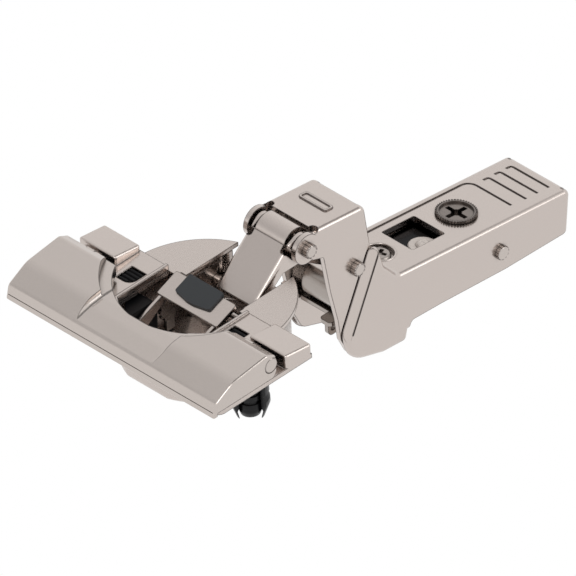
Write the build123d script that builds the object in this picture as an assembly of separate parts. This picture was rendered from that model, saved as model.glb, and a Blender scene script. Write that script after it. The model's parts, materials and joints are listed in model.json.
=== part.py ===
"""Concealed cup hinge with a cranked arm, shown open.

Frame: the origin is on the cup's axis at the door's face, +Z leaves the door along the
cup's axis, +X runs from the cup towards the arm and Y is the hinge axis.  Millimetres.
The arm lies OPEN_TILT below the door's face, because the open stop is past a right angle.
"""
import os
from math import asin, atan2, cos, degrees, hypot, radians, sin, sqrt

from build123d import *

os.makedirs("parts", exist_ok=True)

# ---------------------------------------------------------------- driving dimensions
RUN = 0.05                  # radial clearance of a running fit
SIDE_GAP = 0.25             # gap between nested links, each side
REST_GAP = 0.3              # gap between a moving piece and its neighbour

OPEN_TILT = 6.7             # how far the open arm drops below the door's face (degrees)

# cup
CUP_R = 17.5                # bored hole is 35 mm
CUP_DEPTH = 12.2
CUP_WALL = 1.0
CUP_CORNER = 1.2
CUP_FLAT = 0.9              # the front flat takes this much off the radius
DISC_R = 19.1
DISC_T = 1.0
SLOT_LEFT = 7.5             # link slot in the disc, to each side of the middle
SLOT_RIGHT = 8.7
RIM_NOTCH_HALF = 7.4        # the cup's wall is lowered here to let the links out
RIM_NOTCH_Z = -4.6

# base plate
PLATE_HALF = 29.4
PLATE_FRONT = -25.0
PLATE_REAR = 1.5
PLATE_T = 1.1
PLATE_LIFT = 1.05           # underside of the part that lies on the disc
MOUTH_HALF = 11.1
MOUTH_R = 17.0
LIP_W = 0.7
LIP_H = 0.45
JOGGLE_IN = 19.3
JOGGLE_OUT = 20.6
BLOCK_IN = 19.0
BLOCK_FRONT = -5.7
BLOCK_FRONT_Z = 4.3
BLOCK_REAR_Z = 3.4
BLOCK_WALL = 1.0
BLOCK_EDGE = 0.6
CATCH_X0, CATCH_X1 = -8.0, -3.3
CATCH_Y0, CATCH_Y1 = 12.5, 16.6

# cover lever
COVER_HALF = 29.6
COVER_WALL = 1.2
COVER_PIVOT = (-9.95, 4.6)
COVER_PIN_R = 1.2
COVER_PIN_HEAD = 1.7
EAR_R = 1.95                # ear of the base plate round a cover pin
EAR_IN, EAR_OUT = 26.3, 27.9
COVER_OPEN = 65.0           # how far the cover swings up (degrees)
WING_IN = 11.3              # step between a wing and the lower middle
WING_R = 20.5               # wings end in an arc round the cup's axis
BAND_R = 18.0               # inner edge of the band round the mouth
BAND_Z = 5.6
STEP_COVE = 1.0

# expanding dowels
DOWEL_X = -9.5
DOWEL_PITCH = 45.0
DOWEL_DEPTH = 12.6
DOWEL_HEAD_R = 4.4
DOWEL_SHANK_R = 4.0
DOWEL_CORE_R = 2.3
DOWEL_BORE_R = 1.35
DOWEL_FLAP_R = 4.5

# linkage, in the open position
LINK_CUP = (8.4, -8.55)     # channel link in the cup
LINK_HEAD = (22.4, 4.0)     # channel link in the arm's head
INNER_CUP = (12.4, -6.0)    # inner link in the cup
INNER_HEAD = (35.5, -7.9)   # inner link in the arm's head
CUP_PIN_R = 1.1
HEAD_PIN_R = 1.45
HEAD_PIN_STAND = 1.9        # how far a head pin stands out of the head
CHANNEL_HALF = 5.7
CHANNEL_T = 1.0
CHANNEL_WEB = 3.25          # pivot line to the web's outer face
INNER_HALF = 4.4
INNER_T = 1.5

# arm's head and carrier
HEAD_HALF = 6.85
HEAD_T = 0.9
HEAD_TOP_W = 10.0           # top plate, in the arm's own frame

# arm
ARM_HALF = 8.05
ARM_T = 1.1
ARM_TOP_W = -10.05
ARM_END_U = 97.2
ARM_EDGE = 1.0
ARM_PIN_UW = (77.25, -16.5)
ARM_PIN_R = 1.45
ARM_PIN_STAND = 1.0
CAM_U = 73.0
CAM_HEAD_R = 4.15
CAM_HEAD_H = 0.9
SIDE_U = 50.9
SIDE_HEAD_R = 3.2
WINDOW_U0, WINDOW_U1 = 56.5, 65.9
WINDOW_Y0, WINDOW_Y1 = -3.8, 5.0


# ---------------------------------------------------------------- helpers
ARM_FRAME = Location((0, 0, 0), (0, OPEN_TILT, 0))   # arm's own frame, u along it and w up


def outline(*corners):
    """Closed wire from (x, z, radius) corners, drawn as x and y of its plane."""
    points = [(c[0], c[1]) for c in corners]
    radii = [c[2] if len(c) > 2 else 0 for c in corners]
    return FilletPolyline(*points, radius=radii, close=True)


def slab(y_low, y_high, *corners):
    """Solid with an XZ outline that runs from y_low to y_high."""
    plane = Plane((0, y_high, 0), x_dir=(1, 0, 0), z_dir=(0, -1, 0))
    return extrude(plane * make_face(outline(*corners)), amount=y_high - y_low)


def rod_y(x, z, radius, y_low, y_high):
    """Round bar along Y."""
    plane = Plane((x, y_high, z), x_dir=(1, 0, 0), z_dir=(0, -1, 0))
    return extrude(plane * Circle(radius), amount=y_high - y_low)


def rod_z(x, y, radius, z_low, z_high):
    """Round bar along Z."""
    return extrude(Plane((x, y, z_low)) * Circle(radius), amount=z_high - z_low)


def block(x0, x1, y0, y1, z0, z1):
    """Box from its six limits."""
    return Pos((x0 + x1) / 2, (y0 + y1) / 2, (z0 + z1) / 2) * Box(x1 - x0, y1 - y0, z1 - z0)


def both_sides(piece):
    """A piece and its mirror image across the middle plane."""
    return [piece, mirror(piece, about=Plane.XZ)]


def save(node, shape):
    """Write one node's STEP file."""
    solids = shape.solids() if hasattr(shape, "solids") else [shape]
    export_step(solids[0] if len(solids) == 1 else Compound(solids), f"parts/{node}.step")


def at_link(piece):
    """Place a piece drawn in the channel link's frame (x along the pivots, z to the web)."""
    run_x, run_z = LINK_HEAD[0] - LINK_CUP[0], LINK_HEAD[1] - LINK_CUP[1]
    turn = degrees(atan2(run_z, run_x))
    return Location((LINK_CUP[0], 0, LINK_CUP[1]), (0, -turn, 0)) * piece


def x_edges_at(shape, y, z, reach=0.05):
    """Straight edges along X that lie at the given y and z."""
    picked = []
    for edge in shape.edges().filter_by(Axis.X):
        middle = edge.position_at(0.5)
        if abs(abs(middle.Y) - y) < reach and abs(middle.Z - z) < reach:
            picked.append(edge)
    return picked


def edges_between(shape, axis, low, high):
    """Edges parallel to an axis whose middles lie inside a box."""
    picked = []
    for edge in shape.edges().filter_by(axis):
        m = edge.position_at(0.5)
        if all(a <= v <= b for a, v, b in zip(low, (m.X, m.Y, m.Z), high)):
            picked.append(edge)
    return picked


# ---------------------------------------------------------------- cup
LUG_IN, LUG_OUT = 9.0, 10.3                  # bearing lugs of the link pins, inside the cup
FLOOR_Z = -CUP_DEPTH + CUP_WALL


def barrel(radius, flat, bottom, top, corner):
    """Round barrel with a flat at its front and a rounded bottom edge."""
    body = rod_z(0, 0, radius, bottom, top)
    body -= block(-radius - 5, -radius + flat, -radius, radius, bottom - 1, top + 1)
    ring = body.edges().group_by(Axis.Z)[0]
    return fillet(ring, corner)


def mouth(radius, half, rear, z_low, z_high):
    """Opening over the cup: a round trimmed to a band and open to the rear."""
    room = rod_z(0, 0, radius, z_low, z_high)
    return room & block(-radius - 1, rear, -half, half, z_low, z_high)


def make_cup():
    """Drawn cup with the flange disc and the slot that lets the links out."""
    body = barrel(CUP_R, CUP_FLAT, -CUP_DEPTH, 0, CUP_CORNER)
    body += rod_z(0, 0, DISC_R, 0, DISC_T)
    body -= barrel(CUP_R - CUP_WALL, CUP_FLAT, FLOOR_Z, 0, CUP_CORNER * 0.6)
    body -= mouth(MOUTH_R, MOUTH_HALF, PLATE_REAR, -1, DISC_T + 1)
    body -= block(PLATE_REAR - 0.5, DISC_R + 1, -SLOT_RIGHT, SLOT_LEFT, -0.01, DISC_T + 1)
    body -= block(PLATE_REAR - 0.5, PLATE_REAR + 1.3, -8.9, 8.9, -0.01, DISC_T + 1)
    body -= block(8, CUP_R + 1, -RIM_NOTCH_HALF, RIM_NOTCH_HALF, RIM_NOTCH_Z, 1)
    lug = block(5.2, 14.4, LUG_IN, LUG_OUT, FLOOR_Z - 0.1, -2.2)
    lug = fillet(edges_between(lug, Axis.Y, (5, 9, -3), (6, 11, -2)), 2)
    lug &= rod_z(0, 0, CUP_R - CUP_WALL / 2, -CUP_DEPTH, 0)
    for side in both_sides(lug):
        body += side
    body += make_pillar()
    for x, z in (LINK_CUP, INNER_CUP):
        body -= rod_y(x, z, CUP_PIN_R, -LUG_OUT, LUG_OUT)
    return body - rod_y(*BRIDGE_PIVOT, BRIDGE_PIN_R, -PILLAR_OUT - 0.1, 0)


# ---------------------------------------------------------------- base plate
DOWEL_NECK_R = 2.95


def plate_outline():
    """Lower sheet with rounded front corners."""
    sheet = block(PLATE_FRONT, PLATE_REAR, -PLATE_HALF, PLATE_HALF, 0, PLATE_T)
    corners = edges_between(sheet, Axis.Z, (-30, -40, -1), (PLATE_FRONT + 1, 40, 3))
    return fillet(corners, 2.0)


def raised_block():
    """Raised end block on the +Y side, pressed hollow."""
    low_z = 0.0
    profile = ((BLOCK_FRONT, low_z), (BLOCK_FRONT, BLOCK_FRONT_Z, 0.4),
               (PLATE_REAR, BLOCK_REAR_Z, 0.4), (PLATE_REAR, low_z))
    body = slab(BLOCK_IN, PLATE_HALF, *profile)
    top = [e for e in body.edges() if e.position_at(0.5).Z > PLATE_T + 1.2]
    keep = [e for e in top if abs(e.tangent_at(0.5).Y) < 0.5 and e.length > 3]
    body = fillet(keep, BLOCK_EDGE)
    return body


def block_hollow():
    """Room under the end block on the +Y side."""
    wall = BLOCK_WALL
    return slab(BLOCK_IN + wall, PLATE_HALF - wall,
                (BLOCK_FRONT + wall, -1), (BLOCK_FRONT + wall, BLOCK_FRONT_Z - wall - 0.1),
                (PLATE_REAR - wall, BLOCK_REAR_Z - wall), (PLATE_REAR - wall, -1))


def pin_lug():
    """Upright ear that carries a cover pin, +Y side."""
    x, z = COVER_PIVOT
    ear = block(x - EAR_R, x + EAR_R - 0.7, EAR_IN, EAR_OUT, PLATE_T - 0.1, z)
    return ear + rod_y(x, z, EAR_R, EAR_IN, EAR_OUT)


def catch_window():
    """D-shaped opening over a pad, +Y side."""
    hole = block(CATCH_X0, CATCH_X1, CATCH_Y0, CATCH_Y1, PLATE_LIFT - 0.1, PLATE_LIFT + 2)
    return fillet(edges_between(hole, Axis.Z, (CATCH_X0 - 1, 0, 0), (CATCH_X0 + 1, 14, 4)), 1.9)


def make_base_plate():
    """Pressed plate that clamps the flange disc, with the blocks and pin ears."""
    top_z = DISC_T + PLATE_T
    body = plate_outline()
    body -= rod_z(0, 0, JOGGLE_IN, -1, DISC_T + 1)
    step = rod_z(0, 0, JOGGLE_OUT, 0, top_z) - rod_z(0, 0, JOGGLE_IN, 0, DISC_T)
    step = fillet([e for e in step.edges().filter_by(GeomType.CIRCLE)
                   if abs(e.radius - JOGGLE_OUT) < 0.01 and e.center().Z > 1], 0.6)
    body += step & block(-30, PLATE_REAR, -PLATE_HALF, PLATE_HALF, 0, top_z)
    for side in both_sides(raised_block()):
        body += side
    for side in both_sides(block_hollow() + catch_window()):
        body -= side
    for side in both_sides(pin_lug()):
        body += side
    body -= rod_z(0, 0, JOGGLE_IN, -1, DISC_T)
    lip = mouth(MOUTH_R + LIP_W, MOUTH_HALF + LIP_W, PLATE_REAR, DISC_T + 0.5, top_z + LIP_H)
    body += lip
    body -= mouth(MOUTH_R, MOUTH_HALF, PLATE_REAR + 1, 0, top_z + 1)
    x, z = COVER_PIVOT
    body -= rod_y(x, z, COVER_PIN_R + RUN, -PLATE_HALF, PLATE_HALF)
    for y in (-DOWEL_PITCH / 2, DOWEL_PITCH / 2):
        body -= rod_z(DOWEL_X, y, DOWEL_NECK_R, -1, PLATE_T + 0.05)
    return body


def make_pad():
    """Ribbed plastic pad in the D-shaped opening, +Y side."""
    gap = 0.2
    body = block(CATCH_X0 + gap, CATCH_X1 - gap, CATCH_Y0 + gap, CATCH_Y1 - gap,
                 DISC_T, DISC_T + 0.6)
    corner = edges_between(body, Axis.Z, (CATCH_X0 - 1, 0, 0), (CATCH_X0 + 1, 14, 4))
    body = fillet(corner, 1.7)
    count = 4
    pitch = (CATCH_X1 - CATCH_X0 - 2 * gap) / count
    for i in range(count):
        x = CATCH_X0 + gap + pitch * (i + 0.5)
        low_y = CATCH_Y0 + gap + (1.2 if i == 0 else 0.2)
        body += rod_y(x, DISC_T + 0.55, pitch * 0.36, low_y, CATCH_Y1 - gap)
    return body


# ---------------------------------------------------------------- cover lever
COVER_PROFILE = ((-26.3, 0.2, 0.3), (-25.5, 3.5, 1.6), (-20.3, 6.35, 6), (-11.0, 7.5, 1.6),
                 (-8.5, 6.3, 0.8), (-8.35, 2.5, 0.3), (-9.2, 1.3), (-25.25, 1.3), (-25.25, 0.2))
COVER_HOLLOW = ((-25.05, 1.0), (-24.4, 2.8), (-20.0, 5.1), (-11.2, 6.2),
                (-9.65, 5.4), (-9.5, 1.0))
MIDDLE_DROP = ((-25.3, 3.75), (-20.8, 4.95, 8), (-17.5, 5.35), (-12.0, 5.5), (-12, 9), (-25.3, 9))
CAM_HALF = 1.1
CAM_NEAR = 1.3              # cam's reach below the pin with the cover shut
SPREAD_TRAVEL = 1.5         # how far the cam pushes a spreader


def cam_lobe(y):
    """Cam whose lowest point drops evenly as the cover turns (flat follower)."""
    rate = SPREAD_TRAVEL / radians(COVER_OPEN)
    px, pz = COVER_PIVOT
    points = []
    steps = 8
    for i in range(steps + 1):
        turn = radians(COVER_OPEN) * i / steps
        reach = CAM_NEAR + rate * turn
        angle = turn - radians(90)
        points.append((px + reach * cos(angle) - rate * sin(angle),
                       pz + reach * sin(angle) + rate * cos(angle)))
    crown = [(px + 1.2, 6.6), (px - 1.5, 6.9), (px - 1.2, pz - 0.6)]
    return slab(y - CAM_HALF, y + CAM_HALF, *(points + crown))


def make_cover():
    """Hinged cover: two wings, a band round the mouth and a lower middle."""
    body = slab(-COVER_HALF, COVER_HALF, *COVER_PROFILE)
    ends = [e for e in body.edges() if abs(abs(e.position_at(0.5).Y) - COVER_HALF) < 0.01
            and e.position_at(0.5).Z > 3.3 and e.length > 1.0]
    body = fillet(ends, 0.5)
    cut = slab(-WING_IN, WING_IN, *MIDDLE_DROP)
    low = [e for e in cut.edges() if abs(abs(e.position_at(0.5).Y) - WING_IN) < 0.01
           and e.position_at(0.5).Z < 6 and abs(e.position_at(0.5).X + 18) < 6.2]
    body -= fillet(low, STEP_COVE)
    body -= rod_z(0, 0, WING_R, BAND_Z, 9)
    hollow = slab(-COVER_HALF + COVER_WALL, COVER_HALF - COVER_WALL, *COVER_HOLLOW)
    hollow -= rod_z(0, 0, WING_R + COVER_WALL, BAND_Z - COVER_WALL, 9)
    hollow -= rod_z(0, 0, BAND_R + COVER_WALL, 0, 9)
    hollow -= Pos(0, 0, -COVER_WALL * 0.75) * cut
    body -= hollow
    edge = rod_z(0, 0, BAND_R, 0, 9)
    edge -= block(-BAND_R - 1, -BAND_R + 0.2, -9, 9, 0, 9)
    body -= edge
    body -= rod_z(0, 0, JOGGLE_OUT + REST_GAP, 0, DISC_T + PLATE_T + LIP_H * 0.5)
    for side in both_sides(rear_opening()):
        body -= side
    for y in (-DOWEL_PITCH / 2, DOWEL_PITCH / 2):
        body += cam_lobe(y)
    for side in both_sides(make_lever_pin(bevel=0)):
        body -= side
    return max(body.solids(), key=lambda s: s.volume)


def rear_opening():
    """Gap in the cover's rear wall for the dowel and the pin's ear, +Y side."""
    x, z = COVER_PIVOT
    gap = block(x - 0.5, x + 4, DOWEL_PITCH / 2 - 4.1, EAR_OUT + 0.25, 0, z)
    ear = rod_y(x, z, EAR_R + 0.15, EAR_IN - 0.25, EAR_OUT + 0.25)
    ear += block(x - EAR_R - 0.15, x, EAR_IN - 0.25, EAR_OUT + 0.25, 0, z)
    low = block(x - 0.5, x + 4, 13, EAR_IN, 0, z - 1.5)
    return gap + ear + low


def make_lever_pin(bevel=0.15):
    """Cover pin with a flush head in the cover's end wall, +Y side."""
    x, z = COVER_PIVOT
    head = rod_y(x, z, COVER_PIN_HEAD, COVER_HALF - 0.8, COVER_HALF)
    if bevel:
        rim = [e for e in head.edges().filter_by(GeomType.CIRCLE) if e.center().Y > COVER_HALF - 0.1]
        head = chamfer(rim, bevel)
    return head + rod_y(x, z, COVER_PIN_R, EAR_IN - 0.4, COVER_HALF - 0.8)


# ---------------------------------------------------------------- expanding dowels
def ring_of(*corners):
    """Solid of revolution about the dowel's axis from (r, z) corners."""
    face = Plane.XZ * make_face(Polyline(*corners, close=True))
    return Pos(DOWEL_X, DOWEL_PITCH / 2, 0) * revolve(face, Axis.Z)


DOWEL_PROFILE = (
    (0, DISC_T + 0.75), (3.7, DISC_T + 0.75), (3.7, PLATE_T), (DOWEL_NECK_R, PLATE_T),
    (DOWEL_NECK_R, 0), (3.35, 0), (3.35, -2.6), (3.9, -3.6), (4.3, -4.2), (4.3, -6.5),
    (3.55, -6.9), (4.2, -7.4), (4.2, -9.4), (2.75, -DOWEL_DEPTH), (0, -DOWEL_DEPTH))
SPREADER_R = 2.15


def wing_mask():
    """Two opposed sectors that hold the dowel's wings, +Y side."""
    sectors = None
    for turn in (45, 225):
        wedge = Pos(DOWEL_X, DOWEL_PITCH / 2, -8.0) * Rot(0, 0, turn) * Pos(4, 0, 0)
        wedge = wedge * Box(8, 5.6, 11.4)
        sectors = wedge if sectors is None else sectors + wedge
    return sectors


def make_dowel():
    """Split plastic dowel: a collar and two wings round the spreader, +Y side."""
    body = ring_of(*DOWEL_PROFILE)
    body -= ring_of((0, 3), (SPREADER_R + RUN, 3), (SPREADER_R + RUN, -2.4), (0, -2.4))
    body -= ring_of((0, -2.3), (2.75, -2.3), (2.75, -9.0), (3.05, -9.4), (2.5, -14), (0, -14))
    wings = body & wing_mask()
    return body & block(-30, 10, 10, 40, -2.4, 3) + wings


def make_spreader():
    """Grooved core with a cone end that the cover's cam drives, +Y side."""
    top = COVER_PIVOT[1] - CAM_NEAR - 0.08
    corners = [(0, top), (SPREADER_R, top)]
    pitch = 1.9
    for i in range(3):
        z = -3.2 - pitch * i
        corners += [(SPREADER_R, z), (SPREADER_R - 0.35, z - 0.25),
                    (SPREADER_R - 0.35, z - 0.75), (SPREADER_R, z - 1.0)]
    corners += [(SPREADER_R, -9.5), (2.6, -10.1), (2.6, -10.5), (2.06, -12.0), (0, -12.0)]
    return ring_of(*corners)


# ---------------------------------------------------------------- channel link
LINK_LENGTH = hypot(LINK_HEAD[0] - LINK_CUP[0], LINK_HEAD[1] - LINK_CUP[1])
CURL_R = 3.5                # outside of the rolled end round the head pin
CURL_HALF = 4.1
CURL_END = 14.0             # where the roll stops, from the pivot line (degrees)
LINK_SIDE = ((2.0, -1.2), (3.1, 0.9, 0.8), (6.6, 1.1, 1.5), (12.2, 0.7, 0.5), (16.5, -3.15, 0.6),
             (19.6, -2.9), (LINK_LENGTH + 2.8, 0), (19.8, 2.6), (17.4, CHANNEL_WEB),
             (3.4, CHANNEL_WEB), (0.5, 2.1), (-1.0, 1.8))


def make_channel_link():
    """Folded outer link: two side plates, the web and its roll round the head pin."""
    plate = slab(-CHANNEL_HALF, CHANNEL_HALF, *LINK_SIDE)
    plate += rod_y(0, 0, 2.2, -CHANNEL_HALF, CHANNEL_HALF)
    plate += rod_y(LINK_LENGTH, 0, 2.8, -CHANNEL_HALF, CHANNEL_HALF)
    web_edges = [e for e in plate.edges().filter_by(Axis.X)
                 if abs(e.position_at(0.5).Z - CHANNEL_WEB) < 0.01]
    plate = fillet(web_edges, 1.0)
    inner = CHANNEL_HALF - CHANNEL_T
    under = CHANNEL_WEB - CHANNEL_T
    plate -= block(-4, 30, -inner, inner, -8, under)
    plate -= block(-4, 3.4, -inner, inner, -8, 8)
    cut = LINK_LENGTH - 2.4
    plate -= block(cut, 30, -inner, inner, -8, 8)
    notch = rod_z(0, 0, 1.0, 0, 8)
    plate -= Pos(cut, CURL_HALF + 0.9, 0) * notch + Pos(cut, -CURL_HALF - 0.9, 0) * notch
    roll = rod_y(LINK_LENGTH, 0, CURL_R, -CURL_HALF, CURL_HALF)
    roll -= rod_y(LINK_LENGTH, 0, CURL_R - CHANNEL_T, -9, 9)
    far = 10.0
    keep = slab(-9, 9, (LINK_LENGTH, 0), (LINK_LENGTH + far, far * sin(radians(CURL_END))),
                (LINK_LENGTH + far, far), (LINK_LENGTH - 2.0, far), (LINK_LENGTH - 2.0, 0.9))
    tie = block(cut - 1.2, LINK_LENGTH - 1.6, -CURL_HALF, CURL_HALF, under + 0.1, CHANNEL_WEB)
    plate += (roll & keep) + tie
    plate -= rod_y(0, 0, CUP_PIN_R + RUN, -9, 9)
    plate -= rod_y(LINK_LENGTH, 0, HEAD_PIN_R + RUN, -9, 9)
    return at_link(plate)


# ---------------------------------------------------------------- inner link
INNER_PATH = (INNER_CUP, (14.5, -1.4), (17.4, 1.3), (21.5, 1.25), (28.0, -3.5), (33.4, -7.2))
INNER_EYE_CUP = 1.9
EYE_SLIDE = (-1.6, 0.9)     # the head pin's play along the eye, from the open position
EYE_LIFT = 0.1
EYE_HALF = 2.2              # half height of the eye's opening
EYE_WALL = 0.75


def make_inner_link():
    """Thick folded strip with a round eye at the cup and a long eye at the head."""
    path = FilletPolyline(*INNER_PATH, radius=[1.5, 2.2, 2.2, 4.0])
    strip = make_face(offset(path, amount=INNER_T / 2, side=Side.BOTH, kind=Kind.ARC).edges())
    plane = Plane((0, INNER_HALF, 0), x_dir=(1, 0, 0), z_dir=(0, -1, 0))
    body = extrude(plane * strip, amount=2 * INNER_HALF)
    cx, cz = INNER_CUP
    hx, hz = INNER_HEAD
    low, high = -INNER_HALF, INNER_HALF
    body += rod_y(cx, cz, INNER_EYE_CUP, low, high)
    ends = [hx + d for d in EYE_SLIDE]
    centre_z = hz + EYE_LIFT
    outer = EYE_HALF + EYE_WALL
    body += block(ends[0], ends[1], low, high, centre_z - outer, centre_z + outer)
    for x in ends:
        body += rod_y(x, centre_z, outer, low, high)
    body -= rod_y(cx, cz, CUP_PIN_R + RUN, -9, 9)
    body -= block(ends[0], ends[1], -9, 9, centre_z - EYE_HALF, centre_z + EYE_HALF)
    for x in ends:
        body -= rod_y(x, centre_z, EYE_HALF, -9, 9)
    return body


# ---------------------------------------------------------------- link pins
def cup_pin(x, z):
    """Pin held by the cup's bearing lugs."""
    return rod_y(x, z, CUP_PIN_R, -LUG_OUT, LUG_OUT)


def head_pin(x, z):
    """Pin held by the head's side plates, with bevelled ends that stand out."""
    half = HEAD_HALF + HEAD_PIN_STAND
    pin = rod_y(x, z, HEAD_PIN_R, -half, half)
    return chamfer(pin.edges().filter_by(GeomType.CIRCLE), 0.25)


# ---------------------------------------------------------------- head with its carrier
TAB_R = 3.4
CARRIER_TOP = -12.8
HEAD_SIDE = (               # in the arm's frame, from the top plate's front corner
    (24.1, HEAD_TOP_W), (37.3, HEAD_TOP_W, 1.2), (40.7, -0.4, 1.0), (41.2, -7.5, 3.0),
    (46.6, CARRIER_TOP, 2.0), (78.5, CARRIER_TOP, 2.0), (81.0, -16.5, 2.0), (79.0, -20.1, 1.5),
    (60.0, -21.1), (52.6, -22.0, 1.5), (50.0, -25.6, 1.5), (43.0, -26.2, 3.0),
    (36.0, -24.6, 3.0), (33.2, -20.0, 1.0), (32.0, -14.8), (29.4, -7.1), (26.7, 2.6, 0.8),
    (23.5, 3.3), (21.0, 8.4))
CARRIER_WEB = (46.8, 56.0)
PAD_UY = (30.3, 32.6, 3.4)
HEAD_SPRING = (35.9, -16.0)
HEAD_SPRING_R = 4.2
HEAD_SPRING_T = 0.8


def make_arm_head():
    """Cranked head and carrier in one stamping, drawn in the arm's frame."""
    body = slab(-HEAD_HALF, HEAD_HALF, *HEAD_SIDE)
    px, pz = LINK_HEAD
    tab = ARM_FRAME.inverse() * rod_y(px, pz, TAB_R, -HEAD_HALF, HEAD_HALF)
    body += tab
    tunnel = block(10, 90, -HEAD_HALF, HEAD_HALF, -40, HEAD_TOP_W)
    tunnel = fillet(edges_between(tunnel, Axis.X, (0, -9, 9), (90, 9, 11)), 1.15)
    body &= tunnel
    inner = HEAD_HALF - HEAD_T
    under = HEAD_TOP_W - HEAD_T
    room = block(10, 90, -inner, inner, -40, under)
    room -= block(*CARRIER_WEB, -9, 9, CARRIER_TOP - 1.0, CARRIER_TOP + 0.2)
    body -= room
    body -= block(15, 24.1, -inner, inner, -40, 20)
    for y in (-inner, inner):
        body -= Pos(24.4, y, 0) * rod_z(0, 0, 1.0, 6.0, 12)
    rear = block(36.6, 42, -inner + 0.6, inner - 0.6, -4, HEAD_TOP_W + 1)
    body -= rear
    u0, u1, half = PAD_UY
    pad = block(u0, u1, -half, half, HEAD_TOP_W - 0.1, HEAD_TOP_W + 0.2)
    body += fillet(pad.edges().filter_by(Axis.Z), 0.7)
    body -= Pos(SIDE_U, 0, 0) * rod_z(0, 0, SIDE_SHANK_R + 0.25, -16, -11)
    body -= rod_y(*ARM_PIN_UW, ARM_PIN_R + RUN, -9, 9)
    body = ARM_FRAME * body
    for x, z in (LINK_HEAD, INNER_HEAD):
        body -= rod_y(x, z, HEAD_PIN_R, -9, 9)
    return body


def make_closing_spring():
    """Hairpin leaf spring, bent round towards the links."""
    x, z = HEAD_SPRING
    outer, inner = HEAD_SPRING_R, HEAD_SPRING_R - HEAD_SPRING_T
    half = 4.5
    ring = rod_y(x, z, outer, -half, half) - rod_y(x, z, inner, -9, 9)
    ring &= block(x - 9, x, -9, 9, z - 9, z + 9)
    upper = block(x, x + 7.5, -half, half, z + inner, z + outer)
    lower = block(x, x + 9.0, -half, half, z - outer, z - inner)
    return ring + upper + lower


def make_spring_anchor():
    """Cross strip under the spring, with the small drilled ear at its front."""
    x, z = HEAD_SPRING
    seat = z - HEAD_SPRING_R
    inner = HEAD_HALF - HEAD_T
    strip = block(x - 3.2, x + 9.0, -inner, inner, seat - 1.0, seat)
    ear = block(x - 6.0, x - 3.0, -4.6, -3.6, seat - 3.6, seat)
    ear = fillet(edges_between(ear, Axis.Y, (0, -6, -40), (x - 5, 0, 0)), 1.2)
    link = block(x - 6.0, x - 2.9, -5.2, -2.0, seat - 1.0, seat)
    ear -= rod_y(x - 4.6, seat - 1.9, 0.7, -9, 0)
    return strip + ear + fillet(edges_between(link, Axis.Z, (0, -6, -40), (x - 5, 0, 0)), 0.8)


# ---------------------------------------------------------------- arm
SIDE_SHANK_R = 1.9
ARM_SIDE = (
    (40.15, 0.3, 0.4), (32.9, -18.7, 6.0), (34.6, -26.0, 5.0), (44.7, -27.2, 4.0),
    (51.2, -27.0, 1.2), (52.0, -22.4, 1.2), (61.0, -21.8, 3.0), (79.0, -20.8, 3.0),
    (97.8, -18.4, 3.0), (ARM_END_U, ARM_TOP_W, 0.8), (47.6, ARM_TOP_W, 2.5),
    (43.6, -6.0, 3.0), (41.6, -1.5, 1.0))
WEB_FRONT_U = 48.2
TONGUE = (-5.4, 6.1)
GROOVE_W = 0.5
GROOVE_DEPTH = 0.28
GRIP_U = (88.2, 91.5, 94.8)


def make_arm():
    """Folded channel arm with open cheeks at its front, drawn in its own frame."""
    body = slab(-ARM_HALF, ARM_HALF, *ARM_SIDE)
    top = [e for e in body.edges() if abs(abs(e.position_at(0.5).Y) - ARM_HALF) < 0.01
           and e.position_at(0.5).Z > ARM_TOP_W - 0.01 and e.position_at(0.5).X > 46]
    body = fillet([e for e in top if abs(e.tangent_at(0.5).X) > 0.99], ARM_EDGE)
    inner = ARM_HALF - ARM_T
    under = ARM_TOP_W - ARM_T
    body -= block(WEB_FRONT_U, ARM_END_U - ARM_T, -inner, inner, -40, under)
    body -= block(20, WEB_FRONT_U, -inner, inner, -40, 20)
    body -= block(ARM_END_U - ARM_T - 0.1, 110, -20, 20, -40, -14.0)
    window = block(WINDOW_U0, WINDOW_U1, WINDOW_Y0, WINDOW_Y1, under - 1, ARM_TOP_W + 1)
    body -= fillet(window.edges().filter_by(Axis.Z), 0.4)
    body -= Pos(SIDE_U, 0, 0) * rod_z(0, 0, SIDE_HEAD_R, ARM_TOP_W - 0.6, ARM_TOP_W + 1)
    body -= Pos(SIDE_U, 0, 0) * rod_z(0, 0, SIDE_SHANK_R + RUN, -14, -9)
    body -= Pos(CAM_U, 0, 0) * rod_z(0, 0, CAM_HUB_R + RUN, -14, -9)
    line = FilletPolyline((47.6, 6.1), (83.6, 6.1), (83.6, -4.6), radius=1.5)
    groove = Pos(0, 0, ARM_TOP_W - GROOVE_DEPTH) * extrude(trace(line, GROOVE_W), amount=1)
    body -= groove
    for u in GRIP_U:
        body += grip_ridge(u)
    body -= rod_y(*ARM_PIN_UW, ARM_PIN_R, -20, 20)
    body -= rod_y(*LATCH_PIVOT, LATCH_PIN_R, -20, 20)
    return ARM_FRAME * body


def grip_ridge(u):
    """Raised ridge across the arm with a short return at its +Y end."""
    height, radius = 0.4, 0.8
    z = ARM_TOP_W + height - radius
    bar = rod_y(u, z, radius, -5.0, 6.0)
    hook = Pos(u, 6.0, z) * (Rot(0, -90, 0) * Cylinder(radius, 1.6, align=(Align.CENTER,
                                                                          Align.CENTER,
                                                                          Align.MIN)))
    return bar + hook + Pos(u, 6.0, z) * Sphere(radius)


# ---------------------------------------------------------------- screws and pins of the arm
CAM_HUB_R = 3.6
CAM_DISC_R = 6.6
CAM_OFFSET = 2.0
CAM_PEG_R = 1.6
CAM_TRAVEL = 2.0
CAM_TURN = 90.0
CAM_PLAY = 0.03             # end play of the cam between its head and its disc
DISC_TOP_W = ARM_TOP_W - ARM_T - CAM_PLAY
DISC_LOW_W = DISC_TOP_W - 0.6


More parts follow.
